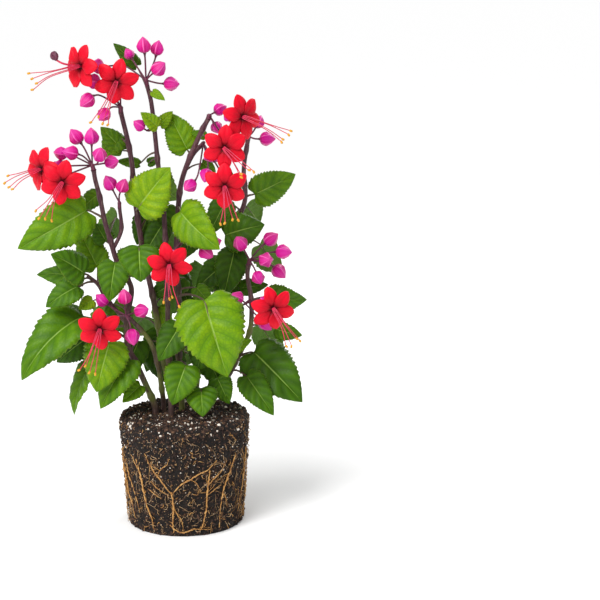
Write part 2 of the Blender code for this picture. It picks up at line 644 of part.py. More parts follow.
def make_root_ball(draw, skin, plant, parts):
    soil = soil_body(parts)
    roots = [surface_root(index, draw, parts) for index in range(ROOT_COUNT)]
    body = fuse("root_ball", [soil, *roots], skin, plant)
    cutters = bpy.data.collections.new("stem_holes")
    for foot, _tip, points in STEMS.values():
        bm = bmesh.new()
        bmesh.ops.create_cone(bm, cap_ends=True, segments=8, radius1=1.0, radius2=1.0, depth=1.0)
        mesh = bpy.data.meshes.new("hole")
        bm.to_mesh(mesh)
        bm.free()
        depth = HOLE_TOP - HOLE_FLOOR
        across = (foot + GAP) / math.cos(math.pi / 8)
        hole = link(mesh, cutters)
        hole.scale = (across * MM, across * MM, depth * MM)
        hole.location = (points[0][0] * MM, points[0][1] * MM, (HOLE_FLOOR + depth / 2) * MM)
    cut = body.modifiers.new("stem_holes", "BOOLEAN")
    cut.operation = "DIFFERENCE"
    cut.operand_type = "COLLECTION"
    cut.collection = cutters
    mesh = evaluated_mesh(body)
    if not closed(mesh):
        cut.solver = "MANIFOLD"
        mesh = evaluated_mesh(body)
    for hole in list(cutters.objects):
        bpy.data.objects.remove(hole, do_unlink=True)
    bpy.data.collections.remove(cutters)
    body.modifiers.clear()
    body.data = mesh


def main():
    clear_scene()
    plant = bpy.data.collections.new(COLLECTION)
    parts = bpy.data.collections.new("pieces")
    for collection in (plant, parts):
        bpy.context.scene.collection.children.link(collection)
    soil = material("potting_soil", SOIL_COLOUR, 0.95)
    bark = material("young_bark", STEM_COLOUR, 0.6)
    green = material("leaf", LEAF_COLOUR, 0.45)
    red = material("petal", PETAL_COLOUR, 0.5)
    magenta = material("calyx", CALYX_COLOUR, 0.5)
    draw = random.Random(7)
    make_root_ball(draw, soil, plant, parts)
    for key in STEMS:
        make_stem(key, draw, bark, plant, parts)
    for name, row in LEAVES.items():
        start = side_start(nearest_axis(row[0], row[1]), row[1], row[2])
        fuse(name, leaf_pieces(row, start, LEAF_ROWS, LEAF_COLUMNS, draw, parts), green, plant)
    for name, row in BLOOMS.items():
        make_bloom(name, row, draw, red, plant, parts)
    for name, row in SPRAYS.items():
        make_spray(name, row, magenta, plant, parts)
    bpy.data.collections.remove(parts)


main()
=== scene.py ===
"""The looks of a bleeding heart vine that stands on its bare root ball.

Metres, +Z up, with the plant seen from -Y. Places and sizes in the lists are millimetres.
"""
import math
import random

import bmesh
import bpy
from mathutils import Matrix, Vector, noise
from mathutils.geometry import intersect_point_line


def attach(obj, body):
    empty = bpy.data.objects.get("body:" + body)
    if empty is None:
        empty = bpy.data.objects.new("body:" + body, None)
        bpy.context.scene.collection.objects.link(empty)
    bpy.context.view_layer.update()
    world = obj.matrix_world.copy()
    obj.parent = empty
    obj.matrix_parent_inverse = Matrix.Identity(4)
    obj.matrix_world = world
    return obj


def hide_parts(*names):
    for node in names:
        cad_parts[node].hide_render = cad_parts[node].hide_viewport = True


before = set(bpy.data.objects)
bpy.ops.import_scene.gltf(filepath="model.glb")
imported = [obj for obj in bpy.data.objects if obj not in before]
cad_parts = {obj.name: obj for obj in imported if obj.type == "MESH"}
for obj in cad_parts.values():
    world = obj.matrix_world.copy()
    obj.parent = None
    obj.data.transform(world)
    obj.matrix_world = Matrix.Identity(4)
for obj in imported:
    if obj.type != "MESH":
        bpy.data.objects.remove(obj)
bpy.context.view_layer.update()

MM = 0.001
ROOT = "root"
BALL_SEED = 11
PLANT_SEED = 5

# Camera: a long lens, looking slightly down, with the plant in the left of the picture
CAMERA_DISTANCE = 1.5
CAMERA_ELEVATION = math.radians(12.0)
CAMERA_TARGET = Vector((0.1019, 0.0, 0.1989))
CAMERA_LENS = 103.4
SENSOR = 36.0

# Root ball
BALL_TOP_RADIUS = 57.0
BALL_FOOT_RADIUS = 50.0
BALL_HEIGHT = 97.0
BALL_ANGLES = 220
BALL_SIDE_ROWS = 80
BALL_TOP_ROWS = 44
BALL_ROUNDING = 2.5         # how far the rim and the foot are rounded off
TOP_LUMPS = 1.9             # how far the lumps of the soil stand out, on top and at the side
SIDE_LUMPS = 1.7
ROOT_TOP = 95.0             # no root goes above this height
ROOT_STEP = 2.2
ROOT_TAPER = 0.7            # share of its girth that a root loses on its way

# Stems
STEM_FOOT = 90.0            # the stems start this high, inside the soil
BARK_GIRTH = 0.93           # girth between joints, as a share of the radius in the list
JOINT_SWELL = 0.3           # what a joint adds to that
JOINT_LENGTH = 3.0
JOINT_SPACING = (26.0, 40.0)

# Leaves
LEAF_ROWS = 96
LEAF_COLUMNS = 18
SMALL_ROWS = 48
SMALL_COLUMNS = 12
TEETH = 17
TOOTH_DEPTH = 0.11          # as a share of the half width
VEINS = 6
VEIN_SWEEP = 0.2            # how far a side vein runs forward, as a share of the length
BLADE = 0.35                # thickness of a blade
PETIOLE = 0.95              # radius of a leaf's stalk
PETIOLE_DROP = 1.35         # how far the stalk runs below the blade
LOBE = 0.1                  # how far the lobes reach back, as a share of the length
FOOT = 0.3                  # share of the rows that goes to the rounded foot
SHOULDER = 0.22             # where the rounded foot of a blade ends, along its midrib
WAVE = 0.1                  # slow wave of the edge, as a share of the half width
RIPPLE = 0.035              # quick ripple of the edge, as a share of the half width
CURL = 0.24                 # droop of the edge, as a share of the half width
QUILTING = 0.023            # how far the skin is raised between veins, as a share of the width
GROOVE = 0.02               # depth of the groove over the midrib, as a share of the width

# Flowers and buds
PETALS = 6
PETAL_ROWS = 18
PETAL_COLUMNS = 10
PETAL_THICKNESS = 0.35
PETAL_LENGTH = 19.0
PETAL_WIDTH = 13.2
PETAL_LAYER = 0.45          # petals stand this far before and behind the middle, in turn
PETAL_CUP = 2.5
PETAL_ROLL = 2.2
PETAL_TROUGH = 1.3
PETAL_RIPPLE = 0.55
PETAL_CREASE = 0.7          # depth of the fold along its middle
THROAT_RADIUS = 2.2
TUBE_LENGTH = 13.0
GAP = 0.3                   # between the tube's foot and the mouth of its calyx
STAMENS = 4
STAMEN_SPACING = 4.5
FILAMENT = 0.46
ANTHER_GIRTH = 1.05
# An anther's outline: places along it, with its radius there as a share of its girth
ANTHER = [(-1.5, 0.15), (-1.2, 0.75), (-0.5, 1.0), (0.0, 0.82), (0.5, 1.0), (1.2, 0.75),
          (1.5, 0.15)]
COIL_STEPS = 26
COIL_TURN = 0.55            # radians that a rolled stamen winds at each step
CALYX_SEGMENTS = 30
CALYX_RINGS = 18
CALYX_LENGTH = 15.0
CALYX_RADIUS = 6.7
CALYX_MOUTH = math.cos(math.pi / 4)    # where an open calyx ends, as a share of half its length
KEELS = 5
KEEL_DEPTH = 0.27           # how far the sides lie behind the keels, as a share of the radius
KEEL_TOOTH = 0.9
PEDICEL = 0.75
SIDE_HUB = 1.3              # radius of a spray's stalk that leaves the side of a stem

# Widths of the patches in the skins, in millimetres
LEAF_PATCH = 16.7
CALYX_TINT = 18.2
BARK_GRAIN = 1.11
BARK_TINT = 45.5

# How often a pattern repeats along and across a leaf, a petal and a calyx, and how far the
# grain of bark is drawn out along the stem
LEAF_NET = (22.0, 17.0, 1.0)
PETAL_VEINS = (2.0, 26.0, 1.0)
CALYX_RIBS = (60.0, 5.0, 1.0)
BARK_STRETCH = (1.0, 1.0, 0.18)

MERGE = 0.00002             # metres within which two vertices are one

# Stage, in metres: each lamp has its kind, its place and its power
FLOOR_SIZE = 1600.0
STUDIO_LIGHT = 0.5
SUN_WIDTH = math.radians(40.0)
SOFTBOX = 0.5
LAMP_TARGET = Vector((0.0, 0.0, 0.22))
LAMPS = [
    ("sky", "SUN", (-0.9, -1.2, 2.2), 2.1),
    ("key", "AREA", (-0.9, -1.3, 1.1), 11.0),
    ("rim", "AREA", (0.6, 1.0, 1.0), 7.0),
]

# Each stem: its foot radius, its tip radius and the points of its axis
STEMS = {
    "a": (3.0, 2.0, [(-26, -2, 104), (-33, -4, 123), (-41, -8, 144), (-48, -10, 162),
                     (-48, -8, 185), (-44, -6, 208), (-48, -6, 220), (-56, -6, 234),
                     (-61, -8, 253), (-65, -10, 269), (-69, -12, 292), (-72, -14, 306),
                     (-73, -16, 315)]),
    "b": (3.0, 2.2, [(-13, 24, 104), (-20, 22, 140), (-23, 21, 167), (-28, 19, 199),
                     (-32, 17, 220), (-36, 15, 244), (-40, 13, 275), (-42, 11, 298),
                     (-43, 10, 317), (-46, 7, 338), (-51, 4, 362)]),
    "c": (2.7, 2.0, [(-11, -10, 104), (-12, -7, 138), (-13, -5, 173), (-13, -3, 208),
                     (-14, -1, 243), (-16, 2, 284), (-20, 4, 318), (-23, 4, 353),
                     (-25, 4, 371), (-28, 4, 384)]),
    "d": (3.0, 2.2, [(-3, 10, 104), (-5, 10, 138), (-4, 9, 173), (-4, 8, 197),
                     (-6, 8, 233), (-5, 7, 252), (-3, 5, 282), (0, 3, 302),
                     (7, 0, 322), (18, -2, 346), (24, -4, 357)]),
    "e": (2.8, 2.0, [(20, 18, 104), (37, 22, 124), (43, 22, 135), (51, 22, 151),
                     (58, 20, 169), (59, 17, 195), (56, 14, 216), (57, 12, 228)]),
    "e_back": (2.8, 2.0, [(8, 36, 104), (12, 40, 135), (23, 42, 181), (35, 40, 227),
                          (48, 34, 265), (54, 28, 285), (53, 22, 310), (57, 14, 337)]),
    "f": (2.6, 2.0, [(-19, 8, 104), (-20, 3, 118), (-22, -5, 140), (-27, -12, 162),
                     (-35, -18, 176), (-44, -22, 187)]),
}

# Side shoots: the stem that carries them, their radius and their axis
SHOOTS = [
    ("a", 1.7, [(-59, -7, 245), (-52, -3, 261), (-53, -4, 281)]),
    ("a", 1.8, [(-48, -9, 181), (-65, -11, 202), (-72, -12, 215), (-81, -13, 223)]),
    ("d", 1.8, [(4, 2, 314), (10, 6, 325), (16, 8, 332)]),
]

# Large leaves: stem, place on it, blade base, blade tip, width, roll in degrees about the
# midrib, arch in degrees, fold of the halves in degrees, and how light the green is, which is
# partly the leaf's own green and partly painted shade, low for leaves that lie in shadow
LEAVES = {
    "leaf_01": ("b", (-40, 13, 275), (-37, -8, 281), (-8, -14, 317), 42, 0, 20, 8, 0.82),
    "leaf_02": ("d", (-3, 5, 280), (-1, -8, 278), (34, -30, 249), 38, 25, 45, 10, 0.7),
    "leaf_03": ("d", (-4, 8, 201), (20, -34, 206), (40, -44, 141), 60, 0, 40, 12, 0.68),
    "leaf_04": ("a", (-66, -10, 272), (-80, -15, 280), (-138, -26, 249), 42, -20, 40, 12, 0.6),
    "leaf_05": ("a", (-48, -10, 166), (-85, -14, 188), (-136, -40, 137), 46, 20, 70, 16, 0.4),
    "leaf_06": ("a", (-77, -13, 220), (-82, -26, 228), (-108, -40, 247), 30, 15, 30, 12, 0.25),
    "leaf_07": ("a", (-72, -12, 215), (-74, 2, 228), (-90, 14, 257), 28, 0, 30, 12, 0.6),
    "leaf_08": ("a", (-77, -13, 220), (-87, -4, 219), (-126, -4, 222), 28, 30, 40, 12, 0.35),
    "leaf_09": ("a", (-75, -12, 218), (-88, -24, 216), (-115, -30, 199), 26, 10, 40, 12, 0.3),
    "leaf_10": ("a", (-48, -9, 178), (-80, 0, 168), (-112, 4, 142), 30, 0, 40, 10, 0.15),
    "leaf_11": ("a", (-47, -10, 160), (-62, -24, 167), (-73, -34, 125), 40, 0, 35, 10, 0.7),
    "leaf_12": ("a", (-41, -8, 144), (-82, -6, 141), (-96, -10, 98), 30, 50, 35, 20, 0.5),
    "leaf_13": ("a", (-38, -7, 136), (-46, -18, 150), (-71, -26, 108), 34, 15, 40, 14, 0.45),
    "leaf_15": ("b", (-37, 15, 247), (-35, -24, 251), (-33, -36, 222), 36, 0, 45, 10, 0.35),
    "leaf_16": ("a", (-54, -6, 230), (-56, -20, 236), (-61, -26, 203), 28, 0, 30, 12, 0.3),
    "leaf_19": ("d", (8, -1, 325), (5, 10, 329), (-12, 16, 361), 28, 0, 25, 12, 0.65),
    "leaf_22": ("e_back", (54, 28, 285), (62, 32, 287), (98, 38, 304), 30, 20, 35, 14, 0.45),
    "leaf_23": ("e_back", (48, 34, 265), (36, 24, 252), (71, 20, 262), 36, 0, 35, 10, 0.2),
    "leaf_24": ("e_back", (38, 40, 236), (44, 26, 237), (35, 18, 198), 30, 0, 30, 10, 0.1),
    "leaf_26": ("c", (-15, 2, 276), (-17, 26, 277), (-18, 36, 245), 28, 0, 30, 10, 0.2),
    "leaf_28": ("e", (47, 22, 142), (61, 14, 149), (104, -8, 109), 46, 0, 40, 14, 0.2),
    "leaf_28b": ("e", (41, 22, 130), (55, -5, 132), (79, -19, 100), 26, 0, 35, 14, 0.3),
    "leaf_29": ("e", (59, 17, 195), (72, 20, 197), (108, 24, 194), 28, 40, 30, 12, 0.3),
    "leaf_31": ("d", (-5, 10, 141), (3, -18, 145), (-8, -32, 113), 32, 0, 40, 12, 0.4),
    "leaf_32": ("e", (22, 18, 105), (16, -16, 124), (18, -34, 103), 28, 0, 40, 8, 0.35),
    "leaf_33": ("e", (28, 19, 112), (29, 4, 128), (40, -10, 108), 22, 0, 30, 10, 0.35),
    "leaf_34": ("d", (-4, 9, 168), (-2, -16, 179), (-20, -24, 150), 28, 0, 30, 12, 0.15),
    "leaf_35": ("d", (-5, 10, 150), (20, -2, 168), (12, -8, 137), 30, 0, 30, 10, 0.15),
}

# Small leaves along the stems, in the same order of values
SMALL_LEAVES = [
    ("c", (-25, 4, 371), (-38, 20, 400), (-58, 22, 419), 14, 0, 20, 14, 0.2),
    ("c", (-27, 4, 379), (-23, -4, 380), (-12, -9, 373), 8, 0, 20, 14, 0.8),
    ("c", (-23, 4, 352), (-19, -3, 350), (-33, -9, 363), 14, 0, 25, 14, 0.8),
    ("c", (-23, 4, 350), (-18, 10, 350), (-7, 10, 362), 12, 0, 25, 14, 0.8),
    ("b", (-43, 9, 327), (-51, 14, 328), (-70, 16, 348), 20, 0, 25, 12, 0.4),
    ("a", (-30, -3, 115), (-37, -14, 126), (-52, -24, 113), 16, 0, 25, 12, 0.6),
    ("d", (-4, 8, 206), (12, 0, 210), (26, -6, 194), 16, 0, 30, 14, 0.4),
    ("e", (58, 19, 172), (80, 14, 170), (104, 10, 165), 18, 30, 30, 12, 0.4),
    ("a", (-65, -11, 202), (-76, -20, 203), (-88, -24, 196), 14, 0, 25, 12, 0.9),
    ("a", (-60, -8, 246), (-66, 4, 250), (-76, 14, 264), 20, 0, 25, 12, 0.3),
    ("b", (-32, 17, 220), (-44, 34, 228), (-66, 52, 212), 32, 150, 40, 12, 0.35),
    ("b", (-37, 15, 250), (-30, 36, 262), (-16, 58, 250), 32, 180, 40, 12, 0.35),
    ("b", (-23, 21, 167), (-36, 38, 176), (-58, 56, 152), 34, 150, 45, 12, 0.4),
    ("e_back", (12, 40, 135), (2, 54, 146), (-16, 70, 122), 34, 160, 45, 12, 0.4),
    ("e_back", (20, 42, 170), (30, 58, 182), (50, 72, 160), 34, 200, 45, 12, 0.3),
    ("e_back", (28, 41, 200), (18, 58, 212), (2, 72, 192), 34, 170, 45, 12, 0.4),
    ("e_back", (48, 34, 265), (54, 48, 274), (66, 64, 256), 30, 200, 40, 12, 0.4),
]

# Leaves that fill the plant between and behind its stems, in the same order of values
# Most of these lie deep in the plant and get a low lightness: painted shade
INNER_LEAVES = [
    ("e_back", (30, 41, 210), (36, 30, 226), (10, 22, 204), 27, 0, 30, 12, 0.15),
    ("e_back", (34, 40, 224), (26, 40, 221), (48, 30, 189), 26, 0, 30, 12, 0.1),
    ("c", (-15, 0, 262), (-19, 20, 261), (-34, 14, 236), 24, 0, 30, 12, 0.1),
    ("b", (-26, 20, 187), (-23, 27, 187), (-14, 20, 163), 18, 0, 30, 12, 0.75),
    ("c", (-13, -2, 215), (0, 24, 214), (-30, 24, 197), 26, 0, 30, 12, 0.2),
    ("d", (-5, 9, 214), (-9, 34, 215), (4, 28, 189), 24, 0, 30, 12, 0.1),
    ("a", (-45, -9, 155), (-41, 18, 158), (-55, 14, 122), 26, 0, 30, 12, 0.2),
    ("b", (-22, 22, 155), (-32, 30, 155), (-18, 24, 118), 26, 0, 30, 12, 0.1),
    ("b", (-22, 22, 160), (-24, 36, 162), (-36, 32, 126), 24, 0, 30, 12, 0.3),
    ("e", (51, 22, 151), (39, 14, 151), (60, 6, 162), 15, 0, 30, 12, 0.7),
    ("b", (-45, 8, 332), (-55, 17, 340), (-67, 12, 322), 22, 0, 30, 12, 0.45),
    ("c", (-21, 4, 328), (-38, 24, 315), (-58, 26, 317), 10, 0, 30, 12, 0.5),
    ("c", (-20, 4, 322), (-30, 20, 316), (-19, 20, 320), 9, 0, 30, 12, 0.3),
    ("d", (16, -2, 342), (21, 8, 341), (8, 10, 344), 9, 0, 30, 12, 0.4),
    ("d", (3, 1, 312), (17, 14, 317), (29, 14, 309), 13, 0, 30, 12, 0.4),
    ("a", (-67, -11, 282), (-72, 5, 291), (-90, 9, 275), 17, 0, 30, 12, 0.4),
    ("b", (-37, 14, 258), (-31, 26, 269), (-41, 20, 244), 24, 0, 30, 12, 0.1),
    ("e_back", (50, 32, 272), (37, 32, 281), (22, 26, 252), 24, 0, 30, 12, 0.25),
    ("e_back", (42, 37, 246), (48, 30, 203), (74, 32, 206), 16, 0, 30, 12, 0.2),
    ("a", (-48, -8, 190), (-62, 12, 193), (-45, 8, 163), 22, 0, 30, 12, 0.45),
    ("d", (-4, 8, 190), (12, 32, 190), (-1, 30, 160), 26, 0, 30, 12, 0.15),
    ("e_back", (23, 42, 181), (40, 40, 189), (32, 34, 153), 28, 0, 30, 12, 0.1),
    ("b", (-34, 17, 232), (-50, 30, 234), (-35, 28, 211), 22, 0, 30, 12, 0.3),
    ("d", (-6, 8, 240), (9, 32, 255), (-1, 30, 230), 22, 0, 30, 12, 0.1),
    ("e_back", (12, 40, 135), (-17, 40, 147), (-4, 36, 108), 26, 0, 30, 12, 0.1),
    ("e_back", (12, 40, 140), (17, 32, 143), (34, 26, 110), 24, 0, 30, 12, 0.2),
    ("b", (-27, 19, 190), (-12, 48, 200), (-32, 60, 170), 34, 185, 45, 12, 0.4),
    ("d", (-6, 8, 230), (-6, 46, 244), (-24, 60, 220), 32, 170, 45, 12, 0.45),
    ("a", (-62, -8, 258), (-58, 22, 268), (-84, 32, 246), 30, 200, 40, 12, 0.3),
    ("e_back", (54, 28, 290), (44, 46, 300), (26, 60, 280), 30, 175, 45, 12, 0.5),
    ("e_back", (44, 36, 252), (66, 44, 240), (86, 46, 214), 32, 160, 40, 12, 0.35),
    ("e", (58, 20, 180), (66, 40, 168), (88, 40, 138), 32, 160, 40, 12, 0.3),
    ("a", (-48, -9, 178), (-66, 24, 180), (-92, 30, 152), 34, 190, 45, 12, 0.4),
    ("b", (-41, 12, 285), (-24, 32, 300), (-6, 44, 280), 28, 180, 40, 12, 0.5),
]

# Blooms: throat, way it faces, turn of its first petal in degrees, and where its
# stamens reach to, measured from the throat
BLOOMS = {
    "bloom_01": ((-82, -16, 402), (-0.62, -0.78, 0.04), 65, (-40, -16, -12)),
    "bloom_02": ((-52, -16, 389), (0.0, -0.98, -0.12), 75, (-14, -14, -34)),
    "bloom_03": ((-117, -20, 316), (-0.66, -0.75, 0.0), 70, (-28, -12, -12)),
    "bloom_04": ((-97, -36, 307), (-0.05, -0.98, -0.1), 75, (-18, -14, -30)),
    "bloom_05": ((54, -20, 360), (0.55, -0.83, 0.02), 105, (40, -14, -16)),
    "bloom_06": ((39, -34, 336), (0.0, -1.0, -0.05), 88, (20, -16, -22)),
    "bloom_07": ((39, -38, 304), (0.05, -0.98, -0.1), 87, (4, -14, -30)),
    "bloom_08": ((-8, -42, 238), (0.0, -0.97, -0.15), 105, (2, -14, -32)),
    "bloom_09": ((-67, -50, 184), (0.0, -0.97, -0.15), 92, (-10, -14, -36)),
    "bloom_10": ((79, -32, 198), (0.3, -0.93, -0.1), 104, (20, -14, -30)),
}

# Sprays of calyces: stem, hub of the spray, what the hub sits on (the stem's tip or its
# side), the buds as (place, way the bud points, size), and the blooms the spray carries
SPRAYS = {
    "spray_01": ("c", "tip", (-29, 4, 389), [
        ((-30, 0, 419), (-0.1, 0, 1), 0.95), ((-19, 8, 416), (0.2, 0.1, 1), 0.9),
        ((-17, -4, 400), (0.7, -0.3, 0.6), 1.0), ((-7, 2, 386), (1, -0.2, 0), 0.95),
        ((-44, 12, 411), (-0.5, 0.3, 0.8), 0.7)], ["bloom_01"]),
    "spray_02": ("b", "tip", (-51, 4, 366), [
        ((-74, -4, 389), (-0.9, -0.4, 0.2), 1.0), ((-78, -12, 373), (-0.7, -0.4, -0.6), 1.0),
        ((-64, -11, 361), (-0.5, -0.5, -0.6), 0.9), ((-62, 18, 388), (-0.3, 0.6, 0.7), 0.9)],
        ["bloom_02"]),
    "spray_03": ("a", "tip", (-74, -16, 319), [
        ((-88, -10, 343), (-0.6, 0.1, 0.8), 1.0), ((-74, -18, 344), (0, -0.1, 1), 1.0),
        ((-91, -26, 331), (-0.8, -0.4, 0.2), 0.95), ((-102, -6, 328), (-1, 0.3, 0.1), 0.9),
        ((-66, -28, 330), (0.2, -0.5, 0.8), 0.95), ((-57, -18, 322), (0.9, -0.4, 0.2), 0.9)],
        ["bloom_03", "bloom_04"]),
    "spray_04": ("a_shoot", "tip", (-53, -4, 285), [
        ((-61, -8, 303), (-0.4, -0.2, 0.9), 0.95), ((-49, -10, 301), (0.4, -0.3, 0.9), 0.9)], []),
    "spray_05": ("d", "tip", (25, -4, 360), [
        ((34, 8, 364), (0.8, 0.4, 0.4), 0.85), ((31, 6, 348), (0.5, 0.1, -0.8), 0.8)],
        ["bloom_06"]),
    "spray_06": ("d_shoot", "tip", (19, 8, 335), [
        ((25, -12, 327), (-0.1, -0.8, 0.4), 0.85), ((30, 16, 322), (0.6, 0.5, -0.2), 0.85),
        ((22, -10, 309), (-0.2, -0.6, -0.7), 0.9), ((8, -14, 301), (-0.6, -0.6, -0.4), 0.9)],
        ["bloom_07"]),
    "spray_07": ("d", "side", (4, -2, 256), [
        ((22, -14, 243), (0.6, -0.5, -0.3), 1.0), ((28, -2, 250), (0.9, 0, 0.3), 0.9),
        ((17, -8, 262), (0.4, -0.3, 0.8), 0.85)], ["bloom_08"]),
    "spray_08": ("e_back", "tip", (58, 13, 340), [
        ((74, 12, 338), (1, 0.1, 0), 0.95), ((66, 22, 352), (0.4, 0.5, 0.8), 0.85)],
        ["bloom_05"]),
    "spray_09": ("e", "tip", (58, 11, 232), [
        ((77, 12, 251), (0.8, 0, 0.6), 1.0), ((88, 2, 241), (1, -0.3, 0), 1.0),
        ((73, -8, 236), (0.4, -0.8, 0.2), 1.0), ((84, 8, 222), (0.7, 0, -0.7), 1.0),
        ((66, -4, 219), (0.3, -0.7, -0.6), 0.9), ((50, 2, 249), (-0.4, -0.4, 0.8), 1.0)], []),
    "spray_10": ("e", "side", (54, 8, 194), [
        ((47, -8, 203), (-0.6, -0.6, 0.5), 0.9), ((72, 4, 176), (0.7, 0, -0.7), 0.95)],
        ["bloom_10"]),
    "spray_11": ("f", "tip", (-47, -24, 190), [
        ((-48, -28, 208), (0, -0.2, 1), 0.95), ((-33, -30, 196), (0.8, -0.4, 0.3), 0.95),
        ((-41, -36, 174), (0.2, -0.5, -0.9), 1.0), ((-68, -22, 204), (-0.7, 0, 0.6), 0.9)],
        ["bloom_09"]),
    "spray_12": ("c", "side", (-27, -1, 347), [((-35, -5, 352), (-0.7, -0.4, 0.6), 0.8)], []),
}

# Thick roots over the front of the ball, as steps of degrees from the front and height
MAIN_ROOTS = [
    (0.83, [(-45, 66), (-42, 56), (-40, 48), (-38, 38), (-36, 27), (-31, 15), (-29, 5)]),
    (0.43, [(-42, 56), (-47, 62), (-52, 69)]),
    (0.79, [(-9, 41), (-8, 32), (-8, 23), (-9, 13), (-8, 4)]),
    (0.61, [(-9, 39), (-15, 47), (-22, 55), (-29, 64), (-34, 74)]),
    (0.58, [(-9, 38), (-1, 48), (8, 53), (17, 58), (25, 61), (33, 68)]),
    (0.43, [(-8, 29), (-5, 22), (0, 14), (1, 5)]),
    (0.68, [(26, 60), (25, 48), (24, 36), (23, 23), (20, 10), (17, 5)]),
    (0.47, [(25, 46), (31, 52), (38, 57), (44, 66)]),
    (0.36, [(24, 37), (31, 41), (38, 45)]),
    (0.72, [(55, 68), (51, 59), (45, 48), (41, 37), (39, 24), (38, 5)]),
    (0.43, [(41, 37), (44, 32), (46, 24)]),
    (0.76, [(77, 70), (75, 58), (74, 45), (69, 29), (65, 14)]),
    (0.72, [(-78, 68), (-75, 55), (-69, 42), (-65, 30), (-59, 23), (-56, 10)]),
    (0.50, [(-66, 61), (-62, 50), (-56, 41), (-50, 30), (-46, 17)]),
    (0.54, [(-12, 11), (-6, 6), (-1, 4), (6, 5), (11, 7), (18, 6), (28, 5)]),
    (0.43, [(-29, 49), (-24, 45), (-18, 41), (-11, 38)]),
    (0.36, [(-33, 42), (-26, 38), (-19, 34)]),
    (0.36, [(8, 53), (13, 50), (16, 45), (15, 38)]),
    (0.36, [(-22, 55), (-18, 62), (-13, 66), (-10, 72)]),
]

# The sides and the back have turned copies of three of them
BACK_ROOTS = MAIN_ROOTS[2:8:2]
BACK_TURNS = (95, 128, 164, 201, 236, 262)

# Nets of thin roots: how many, first radius, length, how much they wander, lowest and highest
# start, and how far they stand out of the soil
ROOT_NETS = {
    "fine": (90, 0.28, 24.0, 0.6, 6.0, 88.0, 1.3),
    "wisps": (110, 0.24, 12.0, 0.9, 6.0, 93.0, 1.5),
    "tan": (36, 0.4, 38.0, 0.45, 10.0, 80.0, 1.1),
}
ROOT_ENDS = 900

# Grains on the root ball: the piece they belong to, the part of the soil they lie on, how many
# lie on a square metre, smallest and largest radius, seed, roundness and finish
GRAINS = [
    ("soil", "top", 16000.0, 0.5, 1.7, 6, 2, "perlite"),
    ("soil", "upper", 15000.0, 0.25, 0.95, 7, 1, "perlite"),
    ("soil", "side", 4500.0, 0.25, 0.6, 12, 1, "perlite"),
    ("crumbs", "side", 95000.0, 0.5, 1.5, 3, 1, "crumb"),
    ("crumbs", "side", 13000.0, 0.5, 1.5, 5, 1, "chip"),
    ("crumbs", "side", 42000.0, 0.22, 0.62, 4, 1, "flake"),
    ("crumbs", "top", 42000.0, 0.9, 2.7, 8, 1, "crumb"),
    ("crumbs", "foot", 60000.0, 0.7, 1.9, 15, 1, "crumb"),
    ("crumbs", "top", 9000.0, 0.7, 2.0, 9, 1, "chip"),
]

# Where a flower's stalk passes on its way from the hub, if it has to go round something
ROUNDABOUT = {"bloom_01": (-48, 17, 400)}

# Blooms with a stamen still rolled up: where it stands from the throat, and its size
COILS = {"bloom_01": ((-21, -3, 9), 2.9)}


def colour(code):
    """An sRGB hex value as linear red, green, blue and alpha."""
    parts = [int(code[i:i + 2], 16) / 255 for i in (1, 3, 5)]
    return (*[c / 12.92 if c <= 0.04045 else ((c + 0.055) / 1.055) ** 2.4 for c in parts], 1.0)


def per_metre(width):
    """The scale of a pattern whose grain is width millimetres across."""
    return 1.0 / (width * MM)


def add(tree, kind, inputs=None, stops=None, **settings):
    """Adds a node; an input is a value, or the socket or node that feeds it."""
    node = tree.nodes.new(kind)
    for name, value in settings.items():
        setattr(node, name, value)
    for name, value in (inputs or {}).items():
        if isinstance(value, bpy.types.Node):
            value = value.outputs[0]
        if isinstance(value, bpy.types.NodeSocket):
            tree.links.new(value, node.inputs[name])
        else:
            node.inputs[name].default_value = value
    if stops:
        elements = node.color_ramp.elements
        while len(elements) < len(stops):
            elements.new(0.5)
        for element, (place, code) in zip(elements, stops):
            element.position = place
            element.color = colour(code)
    return node


def new_material(name, **shader_inputs):
    """A material and its tree, with the values that are even all over it."""
    made = bpy.data.materials.new(name)
    made.use_nodes = True
    tree = made.node_tree
    for key, value in shader_inputs.items():
        tree.nodes["Principled BSDF"].inputs[key.replace("_", " ")].default_value = value
    return made, tree


def dressed(made, skin, height, strength, depth, sunken=False):
    """The material with its colour, and with relief of some depth in millimetres."""
    tree = made.node_tree
    shader = tree.nodes["Principled BSDF"]
    relief = add(tree, "ShaderNodeBump", {"Height": height, "Strength": strength,
                                          "Distance": depth * MM}, invert=sunken)
    tree.links.new(skin, shader.inputs["Base Color"])
    tree.links.new(relief.outputs[0], shader.inputs["Normal"])
    return made


